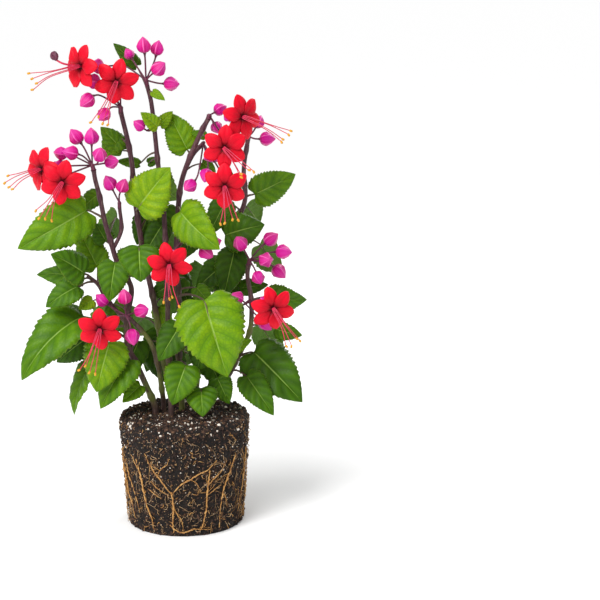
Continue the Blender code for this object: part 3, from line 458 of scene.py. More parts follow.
def leaf_material(name, shades, line, midrib_line, roughness):
    # A live leaf: waxy skin with a soft shine, sunken side veins and a fine net between them
    made, tree = new_material(name, Roughness=roughness, Specular_IOR_Level=0.16)
    chart = add(tree, "ShaderNodeUVMap", uv_map="leaf_map")
    parts = add(tree, "ShaderNodeSeparateXYZ", {0: chart})
    # How light each leaf's green is: partly its own green, partly painted shade on leaves that lie
    # in shadow
    tone = add(tree, "ShaderNodeAttribute", attribute_name="tone")
    place = add(tree, "ShaderNodeTexCoord")
    patches = add(tree, "ShaderNodeTexNoise", {
        "Vector": place.outputs["Object"], "Scale": per_metre(LEAF_PATCH), "Detail": 4.0})
    across = add(tree, "ShaderNodeMath", {0: parts.outputs[1], 1: 0.5}, operation="SUBTRACT")
    away = add(tree, "ShaderNodeMath", {0: across}, operation="ABSOLUTE")
    swept = add(tree, "ShaderNodeMath", {0: away, 1: -2.0 * VEIN_SWEEP, 2: parts},
                operation="MULTIPLY_ADD")
    beside = add(tree, "ShaderNodeMath", {0: swept, 1: 0.5 / VEINS}, operation="PINGPONG")
    # Painted shade beside each sunken side vein and a painted highlight on the raised pillows
    # between
    vein_shade_and_pillow_light = add(tree, "ShaderNodeMapRange", {0: beside, 1: 0.0, 2: 0.5 / VEINS, 3: -0.09, 4: 0.07})
    mixed = add(tree, "ShaderNodeMath", {0: patches, 1: 0.5, 2: vein_shade_and_pillow_light}, operation="MULTIPLY_ADD")
    level = add(tree, "ShaderNodeMath", {0: mixed, 1: 0.25}, operation="SUBTRACT")
    share = add(tree, "ShaderNodeMath", {0: tone.outputs["Fac"], 1: level}, operation="ADD",
                use_clamp=True)
    green = add(tree, "ShaderNodeValToRGB", {0: share}, stops=shades)
    # Pale lines: thin side veins, a fainter net, a strong midrib and the rim
    side_vein = add(tree, "ShaderNodeMapRange", {0: beside, 1: 0.002, 2: 0.011, 3: 0.38, 4: 0.0})
    net_place = add(tree, "ShaderNodeVectorMath", {0: chart, 1: LEAF_NET},
                    operation="MULTIPLY")
    net = add(tree, "ShaderNodeTexVoronoi", {"Vector": net_place, "Scale": 1.0},
              feature="DISTANCE_TO_EDGE")
    net_line = add(tree, "ShaderNodeMapRange", {0: net, 1: 0.0, 2: 0.16, 3: 0.32, 4: 0.0})
    drawn = add(tree, "ShaderNodeMath", {0: side_vein, 1: net_line}, operation="MAXIMUM")
    veined = add(tree, "ShaderNodeMix", {0: drawn, 6: green, 7: colour(line)}, data_type="RGBA")
    midrib = add(tree, "ShaderNodeMapRange", {0: away, 1: 0.006, 2: 0.02, 3: 0.75, 4: 0.0})
    skin = add(tree, "ShaderNodeMix", {0: midrib, 6: veined.outputs[2], 7: colour(midrib_line)},
               data_type="RGBA")
    rim = add(tree, "ShaderNodeMapRange", {0: away, 1: 0.47, 2: 0.5, 3: 0.0, 4: 0.45})
    edged = add(tree, "ShaderNodeMix", {0: rim, 6: skin.outputs[2], 7: colour("#8FA83A")},
                data_type="RGBA")
    return dressed(made, edged.outputs[2], drawn, 0.7, 0.5, sunken=True)


def petal_material():
    # A fresh scarlet petal: satin skin, faint lengthwise veins, and darker towards the throat,
    # partly its own deeper red and partly painted shade in the throat
    made, tree = new_material("petal_scarlet", Roughness=0.4, Specular_IOR_Level=0.12)
    chart = add(tree, "ShaderNodeUVMap", uv_map="petal_map")
    parts = add(tree, "ShaderNodeSeparateXYZ", {0: chart})
    # Nearly black at the throat, bright at the tip: partly the petal's own deeper red, partly
    # painted shade down in the throat
    along = add(tree, "ShaderNodeValToRGB", {0: parts}, stops=[
        (0.0, "#2A030C"), (0.1, "#66050F"), (0.24, "#BA0820"), (0.6, "#E00C28"), (1.0, "#EA162E")])
    stretch = add(tree, "ShaderNodeVectorMath", {0: chart, 1: PETAL_VEINS},
                  operation="MULTIPLY")
    veins = add(tree, "ShaderNodeTexNoise", {"Vector": stretch, "Scale": 1.0, "Detail": 4.0})
    deeper = add(tree, "ShaderNodeMapRange", {0: veins, 1: 0.45, 2: 0.7, 3: 0.0, 4: 0.5})
    skin = add(tree, "ShaderNodeMix", {0: deeper, 6: along, 7: colour("#96061C")},
               data_type="RGBA")
    return dressed(made, skin.outputs[2], veins, 0.35, 0.5)


def calyx_material():
    # A papery magenta calyx, puffed like a lantern: deep pink sides, in places more violet, and a
    # plum foot, with a painted highlight along the five keels and towards the tip, and painted
    # shade in the creases
    made, tree = new_material("calyx_magenta", Roughness=0.34, Specular_IOR_Level=0.16)
    chart = add(tree, "ShaderNodeUVMap", uv_map="calyx_map")
    parts = add(tree, "ShaderNodeSeparateXYZ", {0: chart})
    beside = add(tree, "ShaderNodeMath", {0: parts, 1: 0.5 / KEELS}, operation="PINGPONG")
    # Pale at the keels: a painted highlight along the ridges; the dark stop midway between keels is
    # painted shade in the crease
    lobe = add(tree, "ShaderNodeValToRGB", {0: beside}, stops=[
        (0.0, "#F084C0"), (0.014, "#D21A80"), (0.05, "#BE0B6A"), (0.09, "#DA288C"),
        (0.1, "#8E0852")])
    # Lighter towards the tip: a painted highlight on the upper belly
    height = add(tree, "ShaderNodeMapRange", {0: parts.outputs[1], 1: 0.35, 2: 0.85,
                                              3: 0.0, 4: 0.27})
    skin = add(tree, "ShaderNodeMix", {0: height, 6: lobe, 7: colour("#F070B8")},
               data_type="RGBA")
    place = add(tree, "ShaderNodeTexCoord")
    drift = add(tree, "ShaderNodeTexNoise", {"Vector": place.outputs["Object"],
                                             "Scale": per_metre(CALYX_TINT)})
    violet = add(tree, "ShaderNodeMapRange", {0: drift, 1: 0.38, 2: 0.6, 3: 0.0, 4: 0.55})
    tinted = add(tree, "ShaderNodeMix", {0: violet, 6: skin.outputs[2], 7: colour("#C41A9A")},
                 data_type="RGBA")
    foot = add(tree, "ShaderNodeMapRange", {0: parts.outputs[1], 1: 0.0, 2: 0.16,
                                            3: 0.7, 4: 0.0})
    whole = add(tree, "ShaderNodeMix", {0: foot, 6: tinted.outputs[2], 7: colour("#5E1040")},
                data_type="RGBA")
    stretch = add(tree, "ShaderNodeVectorMath", {0: chart, 1: CALYX_RIBS},
                  operation="MULTIPLY")
    ribs = add(tree, "ShaderNodeTexNoise", {"Vector": stretch, "Scale": 1.0})
    return dressed(made, whole.outputs[2], ribs, 0.3, 0.4)


def bark_material():
    # Young bark: plum brown above, olive green low down, with fine pale streaks
    made, tree = new_material("bark_plum", Roughness=0.55, Specular_IOR_Level=0.35)
    place = add(tree, "ShaderNodeTexCoord")
    parts = add(tree, "ShaderNodeSeparateXYZ", {0: place.outputs["Object"]})
    stretch = add(tree, "ShaderNodeVectorMath", {0: place.outputs["Object"], 1: BARK_STRETCH},
                  operation="MULTIPLY")
    grain = add(tree, "ShaderNodeTexNoise", {"Vector": stretch, "Scale": per_metre(BARK_GRAIN),
                                             "Detail": 4.0})
    drift = add(tree, "ShaderNodeTexNoise", {"Vector": place.outputs["Object"],
                                             "Scale": per_metre(BARK_TINT)})
    height = add(tree, "ShaderNodeMapRange", {0: parts.outputs[2], 1: 0.17, 2: 0.27,
                                              3: 0.0, 4: 1.0})
    shifted = add(tree, "ShaderNodeMath", {0: drift, 1: 2.4, 2: -1.1}, operation="MULTIPLY_ADD")
    age = add(tree, "ShaderNodeMath", {0: height, 1: shifted}, operation="ADD", use_clamp=True)
    tint = add(tree, "ShaderNodeValToRGB", {0: age}, stops=[
        (0.0, "#646C2C"), (0.12, "#54482C"), (0.3, "#43302A"), (0.7, "#54323A"), (1.0, "#472630")])
    streak = add(tree, "ShaderNodeMapRange", {0: grain, 1: 0.5, 2: 0.75, 3: 0.0, 4: 0.5})
    skin = add(tree, "ShaderNodeMix", {0: streak, 6: tint, 7: colour("#8C756C")},
               data_type="RGBA")
    return dressed(made, skin.outputs[2], grain, 0.8, 0.6)


def grain_material(name, stops, width, roughness, strength, depth):
    """A skin without a direction, whose colour and relief follow grains of one width."""
    made, tree = new_material(name, Roughness=roughness)
    place = add(tree, "ShaderNodeTexCoord")
    grain = add(tree, "ShaderNodeTexNoise", {
        "Vector": place.outputs["Object"], "Scale": per_metre(width), "Detail": 5.0,
        "Roughness": 0.65})
    skin = add(tree, "ShaderNodeValToRGB", {0: grain}, stops=stops)
    return dressed(made, skin.outputs[0], grain, strength, depth)


FINISHES = {
    "leaf": leaf_material("leaf_upper", [
        (0.0, "#284402"), (0.3, "#426A04"), (0.6, "#608A04"), (0.85, "#7A9D06"),
        (1.0, "#94AD0E")], "#33620F", "#93B350", 0.38),
    "leaf_under": leaf_material("leaf_underside", [
        (0.0, "#456A26"), (0.6, "#688E34"), (1.0, "#86A442")], "#7FA257", "#A3BC74", 0.6),
    "petal": petal_material(),
    "calyx": calyx_material(),
    "bark": bark_material(),
    # Leaf stalk: smooth plum skin that turns green in the light
    "stalk": grain_material("stalk_plum", [
        (0.3, "#45262A"), (0.6, "#62513A")], 3.85, 0.5, 0.2, 0.2),
    # Flower stalk: dark wine-red skin
    "pedicel": grain_material("pedicel_wine", [
        (0.3, "#3E1626"), (0.65, "#6B2744")], 2.5, 0.5, 0.2, 0.2),
    # Filament: smooth pink-red thread
    "filament": grain_material("filament_rose", [
        (0.3, "#B01238"), (0.65, "#DC3058")], 3.33, 0.45, 0.1, 0.1),
    # Anther: golden sac dusted with pollen, drawn coarser than it is so that it shows
    "anther": grain_material("anther_gold", [
        (0.35, "#B8741A"), (0.6, "#EDB035")], 0.556, 0.8, 0.6, 0.3),
    # Damp peat and bark compost, dull and nearly black: partly its own dark colour, partly painted
    # shade in the gaps between the crumbs
    "soil": grain_material("peat_soil_and_gap_shade", [
        (0.4, "#070302"), (0.55, "#140B06"), (0.72, "#2E1C10")], 2.38, 0.95, 1.0, 1.0),
    # Crumbs of peat that stand out of it: browner than the near-black body between them
    "crumb": grain_material("peat_crumb", [
        (0.36, "#120A06"), (0.48, "#33211A"), (0.58, "#5A4030"), (0.72, "#8E6C4E")],
        3.03, 0.95, 1.0, 1.0),
    # Chips of composted bark: dark brown and dull
    "chip": grain_material("bark_chip", [
        (0.35, "#1E120A"), (0.6, "#5C3C22")], 1.43, 0.9, 0.8, 0.6),
    # Dry fibre of coir: straw-coloured flakes that catch the light
    "flake": grain_material("coir_flake", [
        (0.35, "#7E5A36"), (0.6, "#CDA97A")], 1.43, 0.85, 0.6, 0.4),
    # Perlite: chalky white puffed grains
    "perlite": grain_material("perlite_white", [
        (0.35, "#CDBFAE"), (0.6, "#F2EADF")], 0.833, 0.9, 0.8, 0.5),
    # Live root: tan thread, stained by the soil
    "root": grain_material("root_tan", [
        (0.36, "#6E4220"), (0.48, "#B07C3C"), (0.6, "#CC9C5A"), (0.74, "#DEC192")],
        2.63, 0.65, 0.4, 0.3),
    # Feeder root: fine pale thread
    "feeder": grain_material("root_pale", [
        (0.38, "#8A6440"), (0.52, "#C29C6C"), (0.66, "#E8D3B2")], 2.0, 0.7, 0.3, 0.2),
}


def new_tree(name, sockets):
    """An empty geometry tree with named inputs, and its two ends."""
    tree = bpy.data.node_groups.new(name, "GeometryNodeTree")
    tree.interface.new_socket("Geometry", in_out="INPUT", socket_type="NodeSocketGeometry")
    tree.interface.new_socket("Geometry", in_out="OUTPUT", socket_type="NodeSocketGeometry")
    for label, kind in sockets.items():
        tree.interface.new_socket(label, in_out="INPUT", socket_type=f"NodeSocket{kind}")
    return tree, add(tree, "NodeGroupInput"), add(tree, "NodeGroupOutput")


def stalk_tree():
    """Round stalks along the edges of a mesh, as thick as its girth attribute says."""
    tree, start, end = new_tree("round_stalks", {"Sides": "Int", "Skin": "Material"})
    line = add(tree, "GeometryNodeMeshToCurve", {"Mesh": start})
    girth = add(tree, "GeometryNodeInputNamedAttribute", {"Name": "girth"}, data_type="FLOAT")
    sized = add(tree, "GeometryNodeSetCurveRadius", {"Curve": line, "Radius": girth})
    ring = add(tree, "GeometryNodeCurvePrimitiveCircle", {"Resolution": start.outputs["Sides"],
                                                          "Radius": 1.0})
    tube = add(tree, "GeometryNodeCurveToMesh", {"Curve": sized, "Profile Curve": ring,
                                                 "Fill Caps": True, "Scale": girth})
    real = add(tree, "GeometryNodeRealizeInstances", {0: tube})
    smooth = add(tree, "GeometryNodeSetShadeSmooth", {0: real})
    skin = add(tree, "GeometryNodeSetMaterial", {"Geometry": smooth,
                                                 "Material": start.outputs["Skin"]})
    tree.links.new(skin.outputs[0], end.inputs[0])
    return tree


def scatter_tree():
    """Grains strewn over a surface, with seeded sizes and turns."""
    tree, start, end = new_tree("strewn_grains", {
        "Density": "Float", "Smallest": "Float", "Largest": "Float", "Seed": "Int",
        "Roundness": "Int", "Skin": "Material"})
    seed = start.outputs["Seed"]
    spots = add(tree, "GeometryNodeDistributePointsOnFaces", {
        "Mesh": start, "Density": start.outputs["Density"], "Seed": seed})
    grain = add(tree, "GeometryNodeMeshIcoSphere", {
        "Radius": 1.0, "Subdivisions": start.outputs["Roundness"]})
    shape = add(tree, "GeometryNodeInputPosition")
    dents = add(tree, "ShaderNodeTexNoise", {"Vector": shape, "Scale": 1.1})
    push = add(tree, "ShaderNodeMath", {0: dents, 1: 0.9, 2: 0.55}, operation="MULTIPLY_ADD")
    moved = add(tree, "ShaderNodeVectorMath", {0: shape, "Scale": push}, operation="SCALE")
    lumpy = add(tree, "GeometryNodeSetPosition", {"Geometry": grain, "Position": moved})
    size = add(tree, "FunctionNodeRandomValue", {
        2: start.outputs["Smallest"], 3: start.outputs["Largest"], "Seed": seed},
        data_type="FLOAT")
    squash = add(tree, "FunctionNodeRandomValue", {
        0: (0.55, 0.55, 0.4), 1: (1.3, 1.1, 0.9), "Seed": seed}, data_type="FLOAT_VECTOR")
    scale = add(tree, "ShaderNodeVectorMath", {0: squash, "Scale": size.outputs[1]},
                operation="SCALE")
    turn = add(tree, "FunctionNodeRandomValue", {
        0: (0, 0, 0), 1: (math.tau,) * 3, "Seed": seed}, data_type="FLOAT_VECTOR")
    strewn = add(tree, "GeometryNodeInstanceOnPoints", {
        "Points": spots, "Instance": lumpy, "Rotation": turn, "Scale": scale})
    real = add(tree, "GeometryNodeRealizeInstances", {0: strewn})
    skin = add(tree, "GeometryNodeSetMaterial", {"Geometry": real,
                                                 "Material": start.outputs["Skin"]})
    tree.links.new(skin.outputs[0], end.inputs[0])
    return tree


TREES = {"stalks": stalk_tree(), "grains": scatter_tree()}


def placed(name, data):
    """A new object in the scene, at its origin."""
    thing = bpy.data.objects.new(name, data)
    bpy.context.scene.collection.objects.link(thing)
    return thing


def settled(thing):
    """The plain mesh that an object's modifiers make; the object itself goes."""
    depsgraph = bpy.context.evaluated_depsgraph_get()
    mesh = bpy.data.meshes.new_from_object(thing.evaluated_get(depsgraph))
    bpy.data.objects.remove(thing, do_unlink=True)
    return mesh


def mesh_from(bm, name, *skins):
    """A mesh with the shape of bm, which is used up, and with its finishes."""
    mesh = bpy.data.meshes.new(name)
    bm.to_mesh(mesh)
    bm.free()
    for skin in skins:
        mesh.materials.append(FINISHES[skin])
    return mesh


def closed(bm):
    """Merges the doubles of a shape and points its faces outwards."""
    bmesh.ops.remove_doubles(bm, verts=bm.verts, dist=MERGE)
    bmesh.ops.recalc_face_normals(bm, faces=bm.faces)


def charted(bm, chart, where):
    """Gives the corners of each face their place on a chart, then closes the shape."""
    for face in bm.faces:
        for loop in face.loops:
            loop[chart].uv = where[loop.vert]
    closed(bm)


def grown(mesh, tree_name, **values):
    """What a geometry tree makes of a mesh, as a plain mesh."""
    tree = TREES[tree_name]
    seedling = placed("seedling", mesh)
    growth = seedling.modifiers.new("growth", "NODES")
    growth.node_group = tree
    for socket in tree.interface.items_tree:
        if socket.in_out == "INPUT" and socket.name in values:
            growth[socket.identifier] = values[socket.name]
    return settled(seedling)


def smooth_route(points, parts=5):
    """A curve through the points, with parts steps between each two."""
    places = [Vector(point) for point in points]
    ends = [places[0] * 2 - places[1], *places, places[-1] * 2 - places[-2]]
    route = []
    for i in range(1, len(ends) - 2):
        before, here, after, later = ends[i - 1:i + 3]
        for step in range(parts):
            t = step / parts
            route.append(0.5 * (2 * here + (after - before) * t
                                + (2 * before - 5 * here + 4 * after - later) * t * t
                                + (3 * here - before - 3 * after + later) * t ** 3))
    route.append(places[-1])
    return route


def stalks(routes, sides, skin):
    """Round stalks; a route is its points in millimetres and a radius for each."""
    mesh = bpy.data.meshes.new("routes")
    points = []
    edges = []
    girths = []
    for route, radii in routes:
        first = len(points)
        points += [tuple(Vector(point) * MM) for point in route]
        edges += [(first + i, first + i + 1) for i in range(len(route) - 1)]
        girths += [radius * MM for radius in radii]
    mesh.from_pydata(points, edges, [])
    girth = mesh.attributes.new("girth", "FLOAT", "POINT")
    girth.data.foreach_set("value", girths)
    return grown(mesh, "stalks", Sides=sides, Skin=FINISHES[skin])


def piece_of(name, meshes, nodes=()):
    """One piece from several plain meshes, riding on the plant."""
    bm = bmesh.new()
    skins = []
    for mesh in meshes:
        known = len(bm.faces)
        bm.from_mesh(mesh)
        bm.faces.ensure_lookup_table()
        for material in mesh.materials:
            if material not in skins:
                skins.append(material)
        order = [skins.index(material) for material in mesh.materials]
        for face in bm.faces[known:]:
            face.material_index = order[min(face.material_index, len(order) - 1)]
    mesh = mesh_from(bm, name)
    for material in skins:
        mesh.materials.append(material)
    piece = placed(name, mesh)
    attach(piece, ROOT)
    if nodes:
        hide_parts(*nodes)


def walled(bm, thickness, *skins):
    """A surface given thickness, with its last finish on its back."""
    sheet = placed("sheet", mesh_from(bm, "sheet", *skins))
    wall = sheet.modifiers.new("thickness", "SOLIDIFY")
    wall.thickness = thickness * MM
    wall.offset = 0.0
    wall.material_offset = len(skins) - 1
    mesh = settled(sheet)
    mesh.shade_smooth()
    return mesh


def seat(stem, near):
    """The point of a stem's axis closest to a place."""
    near = Vector(near)
    spots = []
    for start, end in zip(stem[2], stem[2][1:]):
        start, end = Vector(start), Vector(end)
        share = intersect_point_line(near, start, end)[1]
        spots.append(start.lerp(end, min(max(share, 0.0), 1.0)))
    return min(spots, key=lambda spot: (near - spot).length)


def carrier_of(key, near):
    """The stem, or the shoot of it, that passes closest to a place."""
    choices = [STEMS[key]]
    choices += [(radius, radius, route) for stem, radius, route in SHOOTS if stem == key]
    return min(choices, key=lambda stem: (seat(stem, near) - Vector(near)).length)


def half_width(share):
    """Half the width of a heart-shaped leaf, as a share of its greatest half width."""
    if share < FOOT:
        return math.sin(math.pi / 2 * share / FOOT) ** 0.8
    rest = (share - FOOT) / (1.0 - FOOT)
    return (1.0 - rest) ** 0.98 * (1.0 + 0.9 * rest)


def margin_place(share):
    """How far along the midrib the margin lies: back round the heart lobes, then forward."""
    if share < FOOT:
        turn = math.pi / 2 * share / FOOT
        lobe = SHOULDER + LOBE
        return SHOULDER - lobe * math.cos(turn) + LOBE * math.exp(-(turn / 0.25) ** 2)
    return SHOULDER + (1.0 - SHOULDER) * (share - FOOT) / (1.0 - FOOT)


class Leaf:
    """The arched frame of one leaf, from a row of a list, which turns shares of it into places."""

    def __init__(self, row):
        self.base, self.tip = Vector(row[2]), Vector(row[3])
        # The last value: how light the green is, partly painted shade for leaves in shadow
        self.width, roll, arch, fold, self.tone = row[4:]
        self.length = (self.tip - self.base).length
        self.along = (self.tip - self.base) / self.length
        face = Vector((0.0, -1.0, 0.45))
        face = (face - self.along * face.dot(self.along)).normalized()
        self.face = Matrix.Rotation(math.radians(roll), 3, self.along) @ face
        self.across = self.along.cross(self.face)
        self.turn = math.radians(arch)
        self.rise = math.tan(math.radians(fold))

    def place(self, share, side=0.0, lift=0.0):
        """The place at a share of the midrib, so far to the side and above the arch."""
        radius = self.length / (2.0 * math.sin(self.turn / 2.0))
        angle = self.turn * (share - 0.5)
        forward = radius * (math.sin(angle) + math.sin(self.turn / 2.0)) + lift * math.sin(angle)
        up = radius * (math.cos(angle) - math.cos(self.turn / 2.0)) + lift * math.cos(angle)
        return self.base + self.along * forward + self.across * side + self.face * up


def leaf_blade(leaf, rows, columns, phase):
    """A blade with teeth, sunken veins and quilting between them."""
    teeth = TEETH if rows > SMALL_ROWS else TEETH // 2
    bm = bmesh.new()
    bmesh.ops.create_grid(bm, x_segments=rows, y_segments=columns, size=1.0)
    chart = bm.loops.layers.uv.new("leaf_map")
    # Each vertex carries its leaf's lightness, partly painted shade for leaves in shadow
    tone = bm.verts.layers.float.new("tone")
    where = {}
    for vert in bm.verts:
        share = (vert.co.x + 1.0) / 2.0
        side = math.copysign(abs(vert.co.y) ** 1.25, vert.co.y)
        where[vert] = (share, (side + 1.0) / 2.0)
        out = abs(side)
        reach = half_width(share) * leaf.width / 2.0
        rim = max(0.0, (out - 0.8) / 0.2)
        tooth = (teeth * share) % 1.0 - 0.6
        reach *= 1.0 + TOOTH_DEPTH * rim * tooth * (1.0 - share ** 6)
        midrib = share ** 1.35
        place = midrib + (margin_place(share) - midrib) * out ** 1.3
        wave = WAVE * side * side * math.sin(phase + 3.0 * math.pi * share)
        ripple = RIPPLE * out ** 3 * math.sin(phase * 2.0 + 11.0 * math.pi * share)
        lift = reach * (leaf.rise * out - CURL * side ** 4 + wave + ripple)
        between = 1.0 - abs(math.cos(math.pi * VEINS * (share - VEIN_SWEEP * out))) ** 1.6
        plump = math.sqrt(max(0.0, 4.0 * out * (1.0 - out))) * min(1.0, 4.0 * (1.0 - share))
        plump *= min(1.0, share * 8.0)
        lift += leaf.width * QUILTING * between * plump
        groove = math.exp(-(out / 0.07) ** 2) * min(1.0, 5.0 * (1.0 - share))
        lift -= leaf.width * GROOVE * groove
        vert.co = leaf.place(place, side * reach, lift) * MM
        vert[tone] = leaf.tone
    charted(bm, chart, where)
    middle = leaf.place(0.4) * MM
    nearest = min(bm.faces, key=lambda face: (face.calc_center_median() - middle).length)
    if nearest.normal.dot(leaf.face) < 0.0:
        bmesh.ops.reverse_faces(bm, faces=bm.faces)
    return walled(bm, BLADE, "leaf", "leaf_under")


def leaf_meshes(row, rows, columns, draw):
    """A leaf's blade, and the stalk that runs from its stem to under the blade."""
    leaf = Leaf(row)
    blade = leaf_blade(leaf, rows, columns, draw.uniform(0.0, math.tau))
    start = seat(carrier_of(row[0], row[1]), row[1])
    bend = start.lerp(leaf.base, 0.45) + Vector((0.0, 0.0, 0.06 * (leaf.base - start).length))
    under = [leaf.place(share, lift=-PETIOLE_DROP * drop)
             for share, drop in [(0.0, 1.0), (0.22, 1.0), (0.5, 0.6)]]
    route = smooth_route([start, bend, *under], 6)
    thick = PETIOLE * (0.8 if rows == SMALL_ROWS else 1.0)
    radii = [thick * (1.25 - i / (len(route) - 1)) for i in range(len(route))]
    return [blade, stalks([(route, radii)], 8, "stalk")]


def stem_route(axis, first, last, draw):
    """A stem's smooth route, with swollen joints where leaves once grew."""
    route = smooth_route(axis, 8)
    travelled = 0.0
    joint = draw.uniform(12.0, 30.0)
    radii = []
    for i, place in enumerate(route):
        if i:
            travelled += (place - route[i - 1]).length
        if travelled - joint > 12.0:
            joint += draw.uniform(*JOINT_SPACING)
        swell = JOINT_SWELL * math.exp(-((travelled - joint) / JOINT_LENGTH) ** 2)
        radii.append((first + (last - first) * i / (len(route) - 1)) * (BARK_GIRTH + swell))
    radii[-1] *= 1.1
    return route, radii


def make_stem(key, draw):
    """The bark of a stem and its shoots, and the small leaves on them."""
    foot, tip, points = STEMS[key]
    sunk = (*points[0][:2], STEM_FOOT)
    routes = [stem_route([sunk, *points], foot, tip, draw)]
    for stem, radius, axis in SHOOTS:
        if stem == key:
            routes.append(stem_route(axis, radius * 1.1, radius, draw))
    meshes = [stalks(routes, 14, "bark")]
    for row in SMALL_LEAVES:
        if row[0] == key:
            meshes += leaf_meshes(row, SMALL_ROWS, SMALL_COLUMNS, draw)
    piece_of(f"bark_stem_{key}", meshes, [f"stem_{key}"])


def bloom_frame(facing):
    """The ways forward, up and right of a bloom."""
    facing = Vector(facing).normalized()
    up = Vector((0.0, 0.0, 1.0))
    up = (up - facing * up.dot(facing)).normalized()
    return facing, up, up.cross(facing)


def petal_breadth(share):
    """Half the breadth of an ovate petal with a short point, as a share of its widest."""
    return math.sin(math.pi * share ** 1.05) ** 0.62 * min(1.0, 0.35 + share * 2.0)


def petal(throat, frame_of, turn, layer, draw):
    """One petal, cupped at its foot, rolled back at its tip and softly rippled."""
    forward, up, right = frame_of
    out = right * math.cos(turn) + up * math.sin(turn)
    side_way = out.cross(forward)
    lean = draw.uniform(-1.8, 1.4)
    twist = draw.uniform(-0.13, 0.13)
    length = PETAL_LENGTH * draw.uniform(0.93, 1.0)
    width = PETAL_WIDTH * draw.uniform(0.9, 1.05)
    phase = draw.uniform(0.0, math.tau)
    bm = bmesh.new()
    bmesh.ops.create_grid(bm, x_segments=PETAL_ROWS, y_segments=PETAL_COLUMNS, size=1.0)
    chart = bm.loops.layers.uv.new("petal_map")
    where = {}
    for vert in bm.verts:
        share = (vert.co.x + 1.0) / 2.0
        side = vert.co.y
        where[vert] = (share, (side + 1.0) / 2.0)
        across = side * (petal_breadth(share) + 0.2 * (1.0 - share) ** 8) * width / 2.0
        reach = THROAT_RADIUS * 0.6 + share * length
        lift = PETAL_CUP * math.sin(math.pi * share * 0.9) - PETAL_ROLL * share * share
        lift += layer - PETAL_TROUGH * side * side * (1.0 - 0.4 * share) + lean * share
        lift += PETAL_RIPPLE * math.sin(phase + 7.0 * share) * side * side
        lift -= PETAL_CREASE * math.exp(-(side / 0.2) ** 2) * math.sin(math.pi * share)
        lift += across * twist
        vert.co = (throat + out * reach + side_way * across + forward * lift) * MM
    charted(bm, chart, where)
    return walled(bm, PETAL_THICKNESS, "petal")


def coil(throat, frame_of, centre, size):
    """The thread of a stamen that is still rolled up, and the roll at its end."""
    forward, up, right = frame_of
    middle = throat + Vector(centre)
    roll = []
    for index in range(COIL_STEPS):
        angle = COIL_TURN * index - 1.2
        reach = size * (1.0 - 0.75 * index / COIL_STEPS)
        roll.append(middle + right * reach * math.cos(angle) + up * reach * math.sin(angle)
                    + forward * 0.06 * index)
    bend = throat.lerp(middle, 0.5) + forward * 4.0 - up * 2.0
    thread = smooth_route([throat, bend, roll[0]], 5)
    return ((thread, [0.85] * len(thread)),
            (roll, [1.9 - 0.025 * index for index in range(COIL_STEPS)]))


def make_bloom(name, row, draw):
    """Petals, tube, and long curved filaments with golden anthers."""
    throat, facing, turn, reach = row
    throat = Vector(throat)
    frame_of = bloom_frame(facing)
    forward = frame_of[0]
    meshes = []
    for index in range(PETALS):
        angle = math.radians(turn - index * 360 / PETALS + draw.uniform(-3.5, 3.5))
        layer = PETAL_LAYER if index % 2 else -PETAL_LAYER
        meshes.append(petal(throat, frame_of, angle, layer, draw))
    rings = [(-TUBE_LENGTH, 1.3), (-6.0, 1.4), (-2.0, 1.9), (0.4, THROAT_RADIUS)]
    tube = [throat + forward * step for step, _radius in rings]
    meshes.append(stalks([(tube, [radius for _step, radius in rings])], 16, "petal"))
    reach = Vector(reach)
    spread = reach.cross(forward).normalized()
    threads = []
    sacs = []
    for index in range(STAMENS):
        aside = (index - (STAMENS - 1) / 2.0) * STAMEN_SPACING
        end = throat + reach * draw.uniform(0.78, 1.0) + spread * (aside + draw.uniform(-1.6, 1.6))
        end += forward * draw.uniform(-2.0, 3.0)
        first = throat + forward * draw.uniform(3.0, 5.0) + spread * aside * 0.22
        middle = throat.lerp(end, 0.5) + forward * draw.uniform(3.5, 9.0)
        middle += spread * draw.uniform(-1.2, 1.2)
        route = smooth_route([throat - forward, first, middle, end], 7)
        last = len(route) - 1
        threads.append((route, [FILAMENT - 0.1 * i / last for i in range(last + 1)]))
        lean = (route[-1] - route[-2]).normalized()
        lean = (lean + spread * draw.uniform(-0.7, 0.7)).normalized()
        sacs.append(([end + lean * (step + 0.8) for step, _share in ANTHER],
                     [share * ANTHER_GIRTH for _step, share in ANTHER]))
    if name in COILS:
        thread, roll = coil(throat, frame_of, *COILS[name])
        threads.append(thread)
        meshes.append(stalks([roll], 7, "pedicel"))
    meshes.append(stalks(threads, 7, "filament"))
    meshes.append(stalks(sacs, 10, "anther"))
    piece_of(f"flower_{name[-2:]}", meshes, [name])


